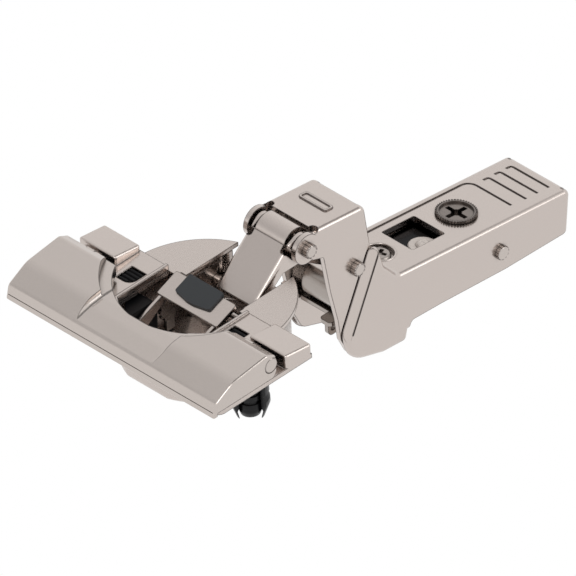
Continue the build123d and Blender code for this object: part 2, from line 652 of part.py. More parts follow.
def make_side_screw():
    """Side-adjusting screw in its round recess."""
    head_low = ARM_TOP_W - 0.6
    body = rod_z(0, 0, 2.45, head_low, ARM_TOP_W + 0.05)
    body = chamfer(body.edges().group_by(Axis.Z)[-1], 0.35)
    body += rod_z(0, 0, SIDE_SHANK_R, -15.5, head_low)
    for turn in (20, 110):
        body -= Rot(0, 0, turn) * block(-1.5, 1.5, -0.4, 0.4, ARM_TOP_W - 0.5, 0)
    return ARM_FRAME * (Pos(SIDE_U, 0, 0) * body)


def make_cam_screw():
    """Depth cam: dished head with a cross slot, flange disc and eccentric peg."""
    rise = ARM_TOP_W + CAM_HEAD_H
    body = rod_z(0, 0, CAM_HEAD_R, ARM_TOP_W + CAM_PLAY, rise)
    body = chamfer(body.edges().group_by(Axis.Z)[-1], 0.2)
    body -= rod_z(0, 0, CAM_HEAD_R - 0.55, rise - 0.45, rise + 1)
    body += rod_z(0, 0, CAM_HUB_R, DISC_TOP_W, ARM_TOP_W + CAM_PLAY)
    body += rod_z(0, 0, CAM_DISC_R, DISC_LOW_W, DISC_TOP_W)
    body += Pos(0, CAM_OFFSET, 0) * rod_z(0, 0, CAM_PEG_R, DISC_LOW_W - 2.2, DISC_LOW_W)
    for turn in (0, 90):
        slot = block(-2.7, 2.7, -0.5, 0.5, rise - 1.9, rise)
        body -= Rot(0, 0, turn) * slot
    body -= rod_z(0, 0, 1.1, rise - 1.9, rise)
    return ARM_FRAME * (Pos(CAM_U, 0, 0) * body)


def make_arm_pin():
    """Pin that joins the arm and the carrier."""
    half = ARM_HALF + ARM_PIN_STAND
    pin = rod_y(*ARM_PIN_UW, ARM_PIN_R, -half, half)
    return ARM_FRAME * chamfer(pin.edges().filter_by(GeomType.CIRCLE), 0.25)


# ---------------------------------------------------------------- clip carriage and latch
CLIP_HALF = 5.6
CLIP_T = 1.0
CLIP_TOP_W = DISC_LOW_W - 0.15
LATCH_PIVOT = (90.6, -15.8)
LATCH_PIN_R = 1.2
LATCH_SWING = 12.0


def make_clip_carriage():
    """Sliding channel that clips on the mounting plate, driven by the cam's peg."""
    side = ((58.6, CLIP_TOP_W), (85.0, CLIP_TOP_W), (85.0, -17.0, 1.0), (82.0, -20.4, 1.0),
            (69.0, -20.4), (69.0, -18.0, 0.8), (65.4, -18.0, 0.8), (65.4, -20.4),
            (60.5, -20.4, 1.0), (58.6, -15.5, 1.5))
    body = slab(-CLIP_HALF, CLIP_HALF, *side)
    edge = [e for e in body.edges().filter_by(Axis.X)
            if abs(e.position_at(0.5).Z - CLIP_TOP_W) < 0.01]
    body = fillet(edge, 0.8)
    inner = CLIP_HALF - CLIP_T
    body -= block(50, 100, -inner, inner, -40, CLIP_TOP_W - CLIP_T)
    peg_room = CAM_PEG_R + 0.5
    reach = CAM_OFFSET + CAM_PEG_R + 0.3
    body -= block(CAM_U - peg_room, CAM_U + peg_room, -reach, reach, -15, -10)
    pin_u, pin_w = ARM_PIN_UW
    pin_room = ARM_PIN_R + RUN + 0.05
    travel = CAM_TRAVEL + 0.3
    body -= block(pin_u - travel, pin_u + travel, -9, 9, pin_w - pin_room, pin_w + pin_room)
    for end in (-travel, travel):
        body -= rod_y(pin_u + end, pin_w, pin_room, -9, 9)
    rivet = Pos(61.4, -2.2, CLIP_TOP_W) * (Sphere(1.6) & Pos(0, 0, 2.0) * Box(9, 9, 4.1))
    return ARM_FRAME * (body + rivet)


def make_latch_lever():
    """Release lever across the arm's rear, turning on its own pin."""
    u, w = LATCH_PIVOT
    half = ARM_HALF - ARM_T - SIDE_GAP
    side = ((u - 2.0, w + 2.0, 1.0), (u + 2.0, w + 2.0, 1.0), (u + 4.6, w - 1.6, 0.8),
            (u + 4.2, w - 3.6, 0.8), (u - 0.6, w - 4.0), (u - 3.0, w - 5.6, 0.6),
            (u - 4.2, w - 4.6, 0.6), (u - 2.4, w - 1.0, 0.8))
    body = slab(-half, half, *side)
    body -= block(u - 9, u + 3.0, -half + 1.1, half - 1.1, w - 9, w + 9)
    body += block(u - 0.5, u + 4.2, -half, half, w - 3.6, w - 2.6) & slab(-half, half, *side)
    body -= rod_y(u, w, LATCH_PIN_R + RUN, -9, 9)
    return ARM_FRAME * body


def make_latch_spring():
    """Two coils round the latch pin with a leg to the lever's cross bar."""
    u, w = LATCH_PIVOT
    outer = LATCH_PIN_R + 1.0
    coil = rod_y(u, w, outer, -2.2, 2.2) - rod_y(u, w, LATCH_PIN_R + 0.15, -9, 9)
    leg = block(u + LATCH_PIN_R + 0.15, u + outer, -0.5, 0.5, w - 2.6, w)
    arm = block(u - 6.0, u, 1.0, 1.9, w + outer - 0.9, w + outer)
    return ARM_FRAME * (coil + leg + arm)


def make_latch_pin():
    """Pin of the release lever, flush with the arm's cheeks."""
    return ARM_FRAME * rod_y(*LATCH_PIVOT, LATCH_PIN_R, -ARM_HALF, ARM_HALF)


# ---------------------------------------------------------------- in the cup's mouth
BRIDGE_LEFT = (-4.6, 0.3)
BRIDGE_RIGHT = (1.15, 2.6)
BRIDGE_HALF = 8.5
BRIDGE_T = 0.9
BRIDGE_PIVOT = (-12.0, -5.0)
BRIDGE_PIN_R = 0.8
BRIDGE_ARM = (7.1, 7.9)     # where its two arms lie, to each side of the middle
PILLAR_OUT = 9.2
HOUSING_IN = 8.2
WASHER_Y = (8.7, 9.4)
DAMPER_Z = -6.5
DAMPER_Y = 9.3
PLUNGER_R = 0.65


def bridge_frame(piece):
    """Place a piece drawn flat on the bridge plate (x to the right edge, z up)."""
    run = BRIDGE_RIGHT[0] - BRIDGE_LEFT[0]
    rise = BRIDGE_RIGHT[1] - BRIDGE_LEFT[1]
    tilt = degrees(atan2(rise, run))
    return Location((BRIDGE_LEFT[0], 0, BRIDGE_LEFT[1]), (0, -tilt, 0)) * piece


def make_bridge_plate():
    """Tilted plate on two arms, which the channel link presses down as it closes."""
    width = hypot(BRIDGE_RIGHT[0] - BRIDGE_LEFT[0], BRIDGE_RIGHT[1] - BRIDGE_LEFT[1])
    plate = block(0, width, -BRIDGE_HALF, BRIDGE_HALF, -BRIDGE_T, 0)
    plate = bridge_frame(fillet(plate.edges().filter_by(Axis.Z), 0.5))
    x, z = BRIDGE_PIVOT
    near, far = BRIDGE_LEFT
    arm = slab(*BRIDGE_ARM, (x - 1.6, z - 0.4, 0.6), (x + 1.2, z - 1.5, 0.6), (near + 1.5, far - 1.4),
               (near + 1.5, far - 0.1), (near + 0.3, far - 0.2), (x - 0.8, z + 1.7, 0.8))
    for side in both_sides(arm + rod_y(x, z, 1.7, *BRIDGE_ARM)):
        plate += side
    return plate - rod_y(x, z, BRIDGE_PIN_R + RUN, -12, 12)


def make_bridge_pin():
    """Pin of the bridge plate, from the pillar to the damper housing."""
    return rod_y(*BRIDGE_PIVOT, BRIDGE_PIN_R, -PILLAR_OUT, HOUSING_IN + 1.5)


def make_pillar():
    """Post on the cup's floor that holds the bridge pin's right end."""
    x, z = BRIDGE_PIVOT
    post = block(x - 1.3, x + 1.7, -PILLAR_OUT, -HOUSING_IN, FLOOR_Z, z)
    return post + rod_y(x, z, 1.5, -PILLAR_OUT, -HOUSING_IN)


def make_damper_switch():
    """Sliding switch on the bridge plate."""
    shape = outline((2.1, 4.9, 0.5), (5.6, 4.9, 0.5), (5.6, -4.4, 0.5), (2.1, -4.4, 0.5))
    body = extrude(make_face(shape), amount=0.55)
    body -= Pos(2.0, 0.4, 0) * Cylinder(0.9, 3)
    return bridge_frame(body)


def along_x(radius, x0, x1):
    """Round bar along X on the damper's line."""
    length = x1 - x0
    return Location((x0 + length / 2, DAMPER_Y, DAMPER_Z), (0, 90, 0)) * Cylinder(radius, length)


def make_damper_housing():
    """Damper body that stands on the cup's floor on the +Y side."""
    body = block(-13.6, -5.0, HOUSING_IN, 12.6, FLOOR_Z, -1.0)
    body = fillet(edges_between(body, Axis.Y, (-14, 0, -2), (-4, 20, 0)), 1.6)
    body &= rod_z(0, 0, CUP_R - CUP_WALL - CUP_CORNER * 0.6 - 0.1, -20, 5)
    body -= rod_y(*BRIDGE_PIVOT, BRIDGE_PIN_R, 0, HOUSING_IN + 1.5)
    return body - along_x(PLUNGER_R + RUN, -10.2, 0)


def make_damper_plunger():
    """Plunger rod with its round nose."""
    return along_x(PLUNGER_R, -8.4, -4.6) + Pos(-4.6, DAMPER_Y, DAMPER_Z) * Sphere(PLUNGER_R)


def make_damper_washer():
    """Toothed disc with a foot on the cup's floor."""
    x, z, r = -0.9, -5.8, 2.5
    body = rod_y(x, z, r, *WASHER_Y) + block(x - 1.2, x + 1.2, *WASHER_Y, FLOOR_Z, z)
    for i in range(12):
        turn = radians(30 * i)
        body += rod_y(x + r * cos(turn), z + r * sin(turn), 0.4, *WASHER_Y)
    return body


# ---------------------------------------------------------------- output
def main():
    """Build every node and write its STEP file."""
    save("cup", make_cup())
    save("base_plate", make_base_plate())
    save("cover_lever", make_cover())
    for node, piece in (("lever_pin", make_lever_pin()), ("dowel", make_dowel()),
                        ("spreader", make_spreader()), ("plate_pad", make_pad())):
        left, right = both_sides(piece)
        save(f"{node}_left", left)
        save(f"{node}_right", right)
    save("channel_link", make_channel_link())
    save("inner_link", make_inner_link())
    save("cup_pin_outer", cup_pin(*LINK_CUP))
    save("cup_pin_inner", cup_pin(*INNER_CUP))
    save("head_pin_outer", head_pin(*LINK_HEAD))
    save("head_pin_inner", head_pin(*INNER_HEAD))
    save("arm_head", make_arm_head())
    save("closing_spring", make_closing_spring())
    save("spring_anchor", make_spring_anchor())
    save("bridge_plate", make_bridge_plate())
    save("bridge_pin", make_bridge_pin())
    save("damper_switch", make_damper_switch())
    save("damper_housing", make_damper_housing())
    save("damper_plunger", make_damper_plunger())
    save("damper_washer", make_damper_washer())
    save("arm", make_arm())
    save("arm_pin", make_arm_pin())
    save("side_screw", make_side_screw())
    save("cam_screw", make_cam_screw())
    save("clip_carriage", make_clip_carriage())
    save("latch_lever", make_latch_lever())
    save("latch_pin", make_latch_pin())
    save("latch_spring", make_latch_spring())


main()
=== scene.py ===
"""Looks for a concealed cup hinge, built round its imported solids.

A name that ends in _mm holds millimetres and one that ends in _m metres.  The forming
functions draw in millimetres and leave meshes in metres.  The frame's origin is on the cup's
axis at the door's face, +Z leaves the door, +X runs towards the arm and Y is the hinge axis.
"""
import json
import logging
import math
from collections.abc import Callable
from dataclasses import dataclass, field
from enum import Enum

import bmesh
import bpy
from mathutils import Matrix, Vector

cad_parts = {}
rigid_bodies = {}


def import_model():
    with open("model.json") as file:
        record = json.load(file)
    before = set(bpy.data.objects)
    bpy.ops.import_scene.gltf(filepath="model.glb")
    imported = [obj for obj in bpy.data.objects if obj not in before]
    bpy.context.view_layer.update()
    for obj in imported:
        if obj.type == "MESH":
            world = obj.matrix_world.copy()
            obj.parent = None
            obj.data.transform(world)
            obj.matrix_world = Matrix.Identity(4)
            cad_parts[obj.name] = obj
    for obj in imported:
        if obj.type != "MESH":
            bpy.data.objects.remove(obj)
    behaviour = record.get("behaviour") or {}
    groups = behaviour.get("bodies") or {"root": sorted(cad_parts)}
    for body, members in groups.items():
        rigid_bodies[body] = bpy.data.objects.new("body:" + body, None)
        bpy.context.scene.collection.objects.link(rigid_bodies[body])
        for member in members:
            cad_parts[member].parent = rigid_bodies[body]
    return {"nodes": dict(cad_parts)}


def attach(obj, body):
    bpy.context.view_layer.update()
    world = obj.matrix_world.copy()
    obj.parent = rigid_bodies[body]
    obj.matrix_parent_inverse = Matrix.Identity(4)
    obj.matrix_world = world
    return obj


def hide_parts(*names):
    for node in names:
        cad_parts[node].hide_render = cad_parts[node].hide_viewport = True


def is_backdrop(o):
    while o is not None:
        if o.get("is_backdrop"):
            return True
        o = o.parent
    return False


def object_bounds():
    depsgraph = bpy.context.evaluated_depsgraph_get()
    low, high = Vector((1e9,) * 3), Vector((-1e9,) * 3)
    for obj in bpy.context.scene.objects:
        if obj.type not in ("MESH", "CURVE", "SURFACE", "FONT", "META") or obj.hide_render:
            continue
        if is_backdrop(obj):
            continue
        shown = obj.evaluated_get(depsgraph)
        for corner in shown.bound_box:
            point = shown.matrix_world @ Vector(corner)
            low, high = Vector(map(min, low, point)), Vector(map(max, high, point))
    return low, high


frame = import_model()

LOG = logging.getLogger("hinge")
MM = 0.001
SAME_MM = 0.001                    # places closer than this are one
WELD_MM = 0.004                    # corners of a cut sheet closer than this are welded
PAST_MM = 1.0                      # how far a cutter runs past what it cuts
SMOOTH_TURN = math.radians(26)     # edges that turn more than this stay sharp

# Frame, middle and directions of the camera's view.
IMAGE_PX = 576
PX_PER_MM = 5.0
VIEW_CENTRE_MM = (13.18, -11.02, 1.39)
VIEW_RIGHT = (0.7061, -0.7071, -0.0370)
VIEW_UP = (0.4504, 0.4082, 0.7939)
VIEW_LENS_MM = 1500.0
VIEW_SENSOR_MM = 36.0
VIEW_REACH_M = 100.0

# The arm has a frame of its own, tilted about the hinge axis: u runs along it and w up from it.
OPEN_TILT = math.radians(6.7)


def linear(hex_colour: str) -> tuple[float, float, float, float]:
    """Turn an sRGB hex colour into linear light.

    Args:
        hex_colour: colour as "#rrggbb".

    Returns:
        Linear red, green, blue and an alpha of one.
    """
    parts = [int(hex_colour[i:i + 2], 16) / 255 for i in (1, 3, 5)]
    low = [c / 12.92 if c <= 0.04045 else ((c + 0.055) / 1.055) ** 2.4 for c in parts]
    return (low[0], low[1], low[2], 1.0)


def from_arm(u_mm: float, y_mm: float, w_mm: float) -> Vector:
    """Give the place of a point that is known in the arm's own frame.

    Args:
        u_mm: distance along the arm.
        y_mm: distance from the middle plane.
        w_mm: height above the arm's frame.

    Returns:
        The point in metres.
    """
    run, rise = math.cos(OPEN_TILT), math.sin(OPEN_TILT)
    return Vector((u_mm * run + w_mm * rise, y_mm, w_mm * run - u_mm * rise)) * MM


def add_node(tree: bpy.types.NodeTree, kind: str, settings: dict | None = None,
             inputs: dict | None = None) -> bpy.types.Node:
    """Add a node with its settings, input values and links.

    Args:
        tree: node tree that takes the node.
        kind: Blender's name of the node's type.
        settings: attribute values of the node.
        inputs: value or output socket for each input, by name or number.

    Returns:
        The new node.
    """
    node = tree.nodes.new(kind)
    for name, value in (settings or {}).items():
        setattr(node, name, value)
    for key, value in (inputs or {}).items():
        if isinstance(value, bpy.types.NodeSocket):
            tree.links.new(value, node.inputs[key])
        else:
            node.inputs[key].default_value = value
    return node


def link(name: str, data: bpy.types.ID) -> bpy.types.Object:
    """Add an object that shows some data to the scene.

    Args:
        name: name of the object.
        data: mesh, camera or lamp that it shows.

    Returns:
        The object.
    """
    made = bpy.data.objects.new(name, data)
    bpy.context.scene.collection.objects.link(made)
    return made


def keep(work: bmesh.types.BMesh, name: str,
         finish: bpy.types.Material | None = None) -> bpy.types.Object:
    """Turn a worked mesh into an object of the scene.

    Args:
        work: worked mesh, which is freed.
        name: name of the object.
        finish: material of a piece, or None for a solid that is cut later or only cuts.

    Returns:
        The object.
    """
    mesh = bpy.data.meshes.new(name)
    work.to_mesh(mesh)
    work.free()
    if finish is not None:
        mesh.materials.append(finish)
        mesh.shade_smooth()
        mesh.set_sharp_from_angle(angle=SMOOTH_TURN)
    return link(name, mesh)


# ------------------------------------------------------------------------------ finishes
@dataclass(frozen=True)
class PlatedSteel:
    """Pressed steel with a satin nickel plate.

    The plate gives a warm grey mirror that is slightly blurred by the sheet's grain. Painted
    shade darkens the colour in a fine line along each edge, where the edge would mirror a dark
    band, and where two pieces meet or a recess lies, where shade falls.
    """

    name: str
    colour: str = "#c6bcb6"
    edge_shade_colour: str = "#4a4340"  # painted shade: the dark line along each edge, for the dark band an edge mirrors
    roughness: float = 0.21
    roughness_swing: float = 0.035
    grain_mm: float = 0.3        # real grain is near 0.05 mm, too fine to show at this size
    grain_depth_mm: float = 0.002
    grain_strength: float = 0.12
    cloud_mm: float = 9.0        # slow unevenness of the barrel-plated coat
    uneven: tuple = (0.6, 1.4)   # what grain and cloud together run over
    edge_mm: float = 0.16        # broken edge of a stamped sheet
    line_mm: float = 0.34        # width of the painted dark edge line, drawn wide enough to show
    edge_shade_turn: tuple = (0.995, 0.93)   # cosine of the edge's turn where the line starts, is full
    # strength of the painted shade line along the edges
    edge_shade_strength: float = 0.75
    # Painted shade: ambient occlusion darkens the colour where pieces meet and in recesses.
    shade_reach_mm: float = 1.6         # how far the painted shade reaches from a seam or recess
    shade_open: tuple = (0.25, 0.85)    # openness of the darkest seam and of a clear face
    shade_dark: float = 0.55

    def build(self) -> bpy.types.Material:
        """Make the material.

        Returns:
            The material.
        """
        material, tree, shader = new_material(self.name)
        shader.inputs["Metallic"].default_value = 1.0
        place = add_node(tree, "ShaderNodeTexCoord")
        grain = add_node(tree, "ShaderNodeTexNoise", inputs={
            "Vector": place.outputs["Object"], "Scale": 1 / (self.grain_mm * MM), "Detail": 2.0})
        cloud = add_node(tree, "ShaderNodeTexNoise", inputs={
            "Vector": place.outputs["Object"], "Scale": 1 / (self.cloud_mm * MM), "Detail": 3.0})
        blend = add_node(tree, "ShaderNodeMath", {"operation": "ADD"},
                         {0: grain.outputs["Fac"], 1: cloud.outputs["Fac"]})
        spread = add_node(tree, "ShaderNodeMapRange", inputs={
            "Value": blend.outputs[0], "From Min": self.uneven[0], "From Max": self.uneven[1],
            "To Min": self.roughness - self.roughness_swing,
            "To Max": self.roughness + self.roughness_swing})
        tree.links.new(spread.outputs["Result"], shader.inputs["Roughness"])
        edge = add_node(tree, "ShaderNodeBevel", {"samples": 6}, {"Radius": self.edge_mm * MM})
        bump = add_node(tree, "ShaderNodeBump", inputs={
            "Height": grain.outputs["Fac"], "Distance": self.grain_depth_mm * MM,
            "Strength": self.grain_strength, "Normal": edge.outputs["Normal"]})
        tree.links.new(bump.outputs["Normal"], shader.inputs["Normal"])
        tree.links.new(self.tone(tree), shader.inputs["Base Color"])
        return material

    def tone(self, tree: bpy.types.NodeTree) -> bpy.types.NodeSocket:
        """Paint shade: a dark line along the edges and a darker colour in seams and recesses.

        Args:
            tree: material's node tree.

        Returns:
            Socket with the plate's colour.
        """
        # Painted shade: a dark line wherever the bevelled normal turns away from the true one,
        # along every edge.
        edge = add_node(tree, "ShaderNodeBevel", {"samples": 8}, {"Radius": self.line_mm * MM})
        shape = add_node(tree, "ShaderNodeNewGeometry")
        bend = add_node(tree, "ShaderNodeVectorMath", {"operation": "DOT_PRODUCT"},
                        {0: edge.outputs["Normal"], 1: shape.outputs["Normal"]})
        line = add_node(tree, "ShaderNodeMapRange", inputs={
            "Value": bend.outputs["Value"], "From Min": self.edge_shade_turn[0],
            "From Max": self.edge_shade_turn[1], "To Min": 0.0, "To Max": self.edge_shade_strength})
        edge_shaded = add_node(tree, "ShaderNodeMix", {"data_type": "RGBA"}, {
            0: line.outputs["Result"], 6: linear(self.colour), 7: linear(self.edge_shade_colour)})
        # Painted shade: ambient occlusion darkens the colour where pieces meet and in recesses.
        occlusion = add_node(tree, "ShaderNodeAmbientOcclusion", {"samples": 8},
                        {"Distance": self.shade_reach_mm * MM})
        shade = add_node(tree, "ShaderNodeMapRange", inputs={
            "Value": occlusion.outputs["AO"], "From Min": self.shade_open[0],
            "From Max": self.shade_open[1], "To Min": 1 - self.shade_dark, "To Max": 1.0})
        shaded_colour = add_node(tree, "ShaderNodeMix", {"data_type": "RGBA", "blend_type": "MULTIPLY"}, {
            0: 1.0, 6: edge_shaded.outputs[2], 7: shade.outputs["Result"]})
        return shaded_colour.outputs[2]


@dataclass(frozen=True)
class Polymer:
    """Injection-moulded plastic, acetal or glass-filled nylon.

    The mould's fine texture gives a soft sheen and no clear reflection.
    """

    name: str
    colour: str = "#0c0c0e"
    roughness: float = 0.5
    ior: float = 1.48
    gloss: float = 0.16          # the spark-eroded skin scatters most of the clear reflection
    texture_mm: float = 0.35     # spark-eroded mould texture, drawn coarse enough to show
    texture_depth_mm: float = 0.01
    texture_strength: float = 0.5
    edge_mm: float = 0.12

    def build(self) -> bpy.types.Material:
        """Make the material.

        Returns:
            The material.
        """
        material, tree, shader = new_material(self.name)
        shader.inputs["Base Color"].default_value = linear(self.colour)
        shader.inputs["Roughness"].default_value = self.roughness
        shader.inputs["IOR"].default_value = self.ior
        shader.inputs["Specular IOR Level"].default_value = self.gloss
        place = add_node(tree, "ShaderNodeTexCoord")
        noise = add_node(tree, "ShaderNodeTexNoise", inputs={
            "Vector": place.outputs["Object"], "Scale": 1 / (self.texture_mm * MM)})
        edge = add_node(tree, "ShaderNodeBevel", {"samples": 6}, {"Radius": self.edge_mm * MM})
        bump = add_node(tree, "ShaderNodeBump", inputs={
            "Height": noise.outputs["Fac"], "Distance": self.texture_depth_mm * MM,
            "Strength": self.texture_strength, "Normal": edge.outputs["Normal"]})
        tree.links.new(bump.outputs["Normal"], shader.inputs["Normal"])
        return material


def new_material(name: str) -> tuple[bpy.types.Material, bpy.types.NodeTree, bpy.types.Node]:
    """Start a node material.

    Args:
        name: name of the finish.

    Returns:
        The material, its tree and its main shader.
    """
    material = bpy.data.materials.new(name)
    material.use_nodes = True
    tree = material.node_tree
    return material, tree, tree.nodes["Principled BSDF"]


class Finish(Enum):
    """Finishes of the hinge's pieces."""

    # Barrel-plated nickel on pressed sheet: a warm satin mirror.
    NICKEL = PlatedSteel("nickel_plated_steel")
    # The same plate on the cover, a trace darker: a shaded copy of the nickel, painted shade.
    COVER_NICKEL = PlatedSteel("nickel_plated_cover", colour="#c4bbb5")
    # Deep drawing roughens the sheet, so the cup mirrors less clearly.
    CUP_NICKEL = PlatedSteel("drawn_cup_nickel", roughness=0.27)
    # Turned pins are smoother than sheet, with a tighter highlight.
    PIN = PlatedSteel("turned_pin_steel", colour="#c2b9b3", roughness=0.18, edge_mm=0.1)
    # Oiled spring wire and strip, greyer than the plate.
    SPRING = PlatedSteel("spring_steel", colour="#a8a09a", roughness=0.24, edge_mm=0.08)
    # Dark nickel on cast zinc: a brownish grey, duller metal.
    DARK_NICKEL = PlatedSteel("dark_nickel_screw", colour="#857d78", roughness=0.3,
                              edge_mm=0.12)
    # Zinc on a headed screw: greyer and duller than nickel.
    SIDE_NICKEL = PlatedSteel("zinc_plated_screw", colour="#a39b95", roughness=0.28, edge_mm=0.1)
    # Near-black colour on the slide: painted shadow, which leaves the arm's inside dark.
    SLIDE = PlatedSteel("blackened_slide", colour="#141315", edge_shade_strength=0.2)
    # Turned and blasted boss with no clear mirror image, its colour paler than the plate: painted
    # light, so that it reads light inside the shaded window.
    BOSS = PlatedSteel("turned_boss_steel", colour="#d8d0ca", roughness=0.6, shade_dark=0.0)
    # Thicker base plate, whose softer edges catch a wider highlight.
    PLATE_NICKEL = PlatedSteel("nickel_plated_base", edge_mm=0.5)
    # A fine dark line on the plate: painted reflection of a dark band along the cover's foot.
    CREASE = PlatedSteel("dulled_crease_nickel", colour="#6b625d", roughness=0.4)
    # Glass-filled nylon from a polished mould: black with a faint sheen.
    DOWEL = Polymer("glass_filled_nylon", colour="#0b0a0e", roughness=0.3, gloss=0.3)
    # Acetal from a spark-eroded mould: a flat black.
    BLACK = Polymer("black_acetal")
    # Acetal dyed slate grey, glossier than the black.
    GREY = Polymer("slate_grey_acetal", colour="#3a3d40", roughness=0.5, gloss=0.4)


@dataclass
class Dresser:
    """Keeps one Blender material per finish and puts it on nodes."""

    made: dict[Finish, bpy.types.Material] = field(default_factory=dict)

    def material(self, finish: Finish) -> bpy.types.Material:
        """Give the material of a finish, built on its first use.

        Args:
            finish: finish that is asked for.

        Returns:
            Its material.
        """
        if finish not in self.made:
            self.made[finish] = finish.value.build()
        return self.made[finish]

    def dress(self, node: str, finish: Finish) -> None:
        """Put a finish on a CAD node.

        Args:
            node: name of the CAD node.
            finish: finish that it takes.
        """
        data = frame["nodes"][node].data
        data.materials.clear()
        data.materials.append(self.material(finish))
        LOG.info("%s: %s", node, finish.value.name)


# ------------------------------------------------------------------------------ forming
class Draw(Enum):
    """Planes of the arm's frame that an outline is drawn in."""

    SIDE = "side"      # outline of u and w, thick along y
    TOP = "top"        # outline of u and y, thick along w


def rounded(corners: tuple, facets: int = 7, closed: bool = True) -> list[Vector]:
    """Round the corners of an outline.

    Args:
        corners: places in the plane, each with a radius where the corner is rounded.
        facets: straight pieces in each rounded corner.
        closed: whether the last corner joins the first.

    Returns:
        The outline's points.
    """
    points = []
    count = len(corners)
    for i, corner in enumerate(corners):
        here = Vector(corner[:2])
        at_end = not closed and i in (0, count - 1)
        if len(corner) < 3 or at_end:
            points.append(here)
            continue
        back = (Vector(corners[i - 1][:2]) - here).normalized()
        onward = (Vector(corners[(i + 1) % count][:2]) - here).normalized()
        half = back.angle(onward) / 2
        middle = here + (back + onward).normalized() * corner[2] / math.sin(half)
        reach = corner[2] / math.tan(half)
        start, stop = here + back * reach - middle, here + onward * reach - middle
        arc = math.atan2(start.x * stop.y - start.y * stop.x, start.dot(stop))
        for k in range(facets + 1):
            turn = Matrix.Rotation(arc * k / facets, 2)
            points.append(middle + turn @ start)
    return points


def round_hole(u_mm: float, other_mm: float, radius: float, facets: int = 40) -> list[Vector]:
    """Give the outline of a circle."""
    steps = [2 * math.pi * k / facets for k in range(facets)]
    return [Vector((u_mm + radius * math.cos(a), other_mm + radius * math.sin(a))) for a in steps]


def strip(path: list[Vector], width: float) -> list[Vector]:
    """Give the outline of a strip along a path.

    Args:
        path: points along the strip's middle.
        width: width of the strip.

    Returns:
        The outline's points.
    """
    left, right = [], []
    for i, point in enumerate(path):
        along = path[min(i + 1, len(path) - 1)] - path[max(i - 1, 0)]
        out = Vector((-along.y, along.x)).normalized() * width / 2
        left.append(point + out)
        right.append(point - out)
    return left + right[::-1]


def band(work: bmesh.types.BMesh, low: list[bmesh.types.BMVert],
         high: list[bmesh.types.BMVert]) -> list[bmesh.types.BMFace]:
    """Join two rings of as many corners.

    Args:
        work: mesh that holds the corners.
        low: corners of the first ring.
        high: corners of the second ring.

    Returns:
        The faces between them.
    """
    ahead = [(i, (i + 1) % len(low)) for i in range(len(low))]
    return [work.faces.new((low[i], low[j], high[j], high[i])) for i, j in ahead]


def skin(work: bmesh.types.BMesh, ends: list[list[tuple]]) -> None:
    """Add a closed body between two ends of the same number of points.

    Args:
        work: mesh that takes the body.
        ends: places of each end's points.
    """
    rings = [[work.verts.new(place) for place in end] for end in ends]
    faces = [work.faces.new(ring) for ring in rings] + band(work, *rings)
    bmesh.ops.recalc_face_normals(work, faces=faces)


def flats(name: str, line_mm: tuple, half_mm: float, wall_mm: float,
          depth_mm: float) -> bpy.types.Object:
    """Make the solids that cut a flat along the front edge of both cheeks.

    Args:
        name: name of the object.
        line_mm: upper and lower end of the edge, drawn from the side.
        half_mm: place of the cheeks' outer faces.
        wall_mm: thickness of the cheeks.
        depth_mm: how far the flat reaches back on the outer faces.

    Returns:
        Both solids as one object.
    """
    high, low = (Vector(end) for end in line_mm)
    along = (high - low).normalized()
    back = Vector((along.y, -along.x))
    # The wedge's long face runs from the edge's inner corner to depth_mm on the outer face.
    corners = ((1.5 * depth_mm, half_mm + wall_mm / 2), (-depth_mm / 2, half_mm - 1.5 * wall_mm),
               (-1.5 * depth_mm, half_mm + 1.5 * wall_mm))
    work = bmesh.new()
    for side in (-1, 1):
        ends = []
        for end in (high + along * depth_mm, low - along * depth_mm):
            places = [(end + back * away, side * across) for away, across in corners]
            ends.append([(place.x, across, place.y) for place, across in places])
        skin(work, ends)
    return keep(work, name)


def solid(name: str, prisms: list[tuple]) -> bpy.types.Object:
    """Make an object of prisms that don't touch, in millimetres of the arm's frame.

    Args:
        name: name of the object.
        prisms: outline of each, where it starts and ends across its plane, and the plane.

    Returns:
        The object.
    """
    work = bmesh.new()
    for outline, low, high, draw in prisms:
        skin(work, [[(p.x, level, p.y) if draw is Draw.SIDE else (p.x, p.y, level)
                     for p in outline] for level in (low, high)])
    return keep(work, name)


def sweep(work: bmesh.types.BMesh, centre: Vector, profile_mm: tuple, middle: float,
          half_turn: float, steps: int) -> None:
    """Add a closed profile swept about an upright axis.

    Args:
        work: mesh that takes the body.
        centre: where the axis stands, in millimetres.
        profile_mm: radius and height of each corner of the profile.
        middle: direction of the sweep's middle.
        half_turn: half the angle that it covers, pi for a whole ring.
        steps: facets along the sweep.
    """
    whole = half_turn >= math.pi
    rings = []
    for i in range(steps if whole else steps + 1):
        turn = middle - half_turn + 2 * half_turn * i / steps
        rings.append([work.verts.new(Vector((centre.x + radius * math.cos(turn),
                                             centre.y + radius * math.sin(turn), z)) * MM)
                      for radius, z in profile_mm])
    pairs = list(zip(rings, rings[1:]))
    if whole:
        pairs.append((rings[-1], rings[0]))
    else:
        work.faces.new(rings[0])
        work.faces.new(rings[-1])
    for low, high in pairs:
        band(work, low, high)


def turned(name: str, centre_mm: tuple, profile_mm: list[tuple], finish: bpy.types.Material,
           facets: int = 48) -> bpy.types.Object:
    """Make a body of revolution that stands in the arm's frame.

    Args:
        name: name of the object.
        centre_mm: where its axis stands.
        profile_mm: radius and height of each ring, in order.
        finish: material of the piece.
        facets: sides of a ring.

    Returns:
        The finished piece.
    """
    work = bmesh.new()
    rings = []
    for radius, height in profile_mm:
        turns = [math.tau * i / facets for i in range(facets)]
        rings.append([work.verts.new(from_arm(centre_mm[0] + radius * math.cos(turn),
                                              centre_mm[1] + radius * math.sin(turn), height))
                      for turn in turns])
    work.faces.new(rings[0])
    work.faces.new(rings[-1])
    for low, high in zip(rings, rings[1:]):
        band(work, low, high)
    bmesh.ops.recalc_face_normals(work, faces=work.faces)
    return keep(work, name, finish)


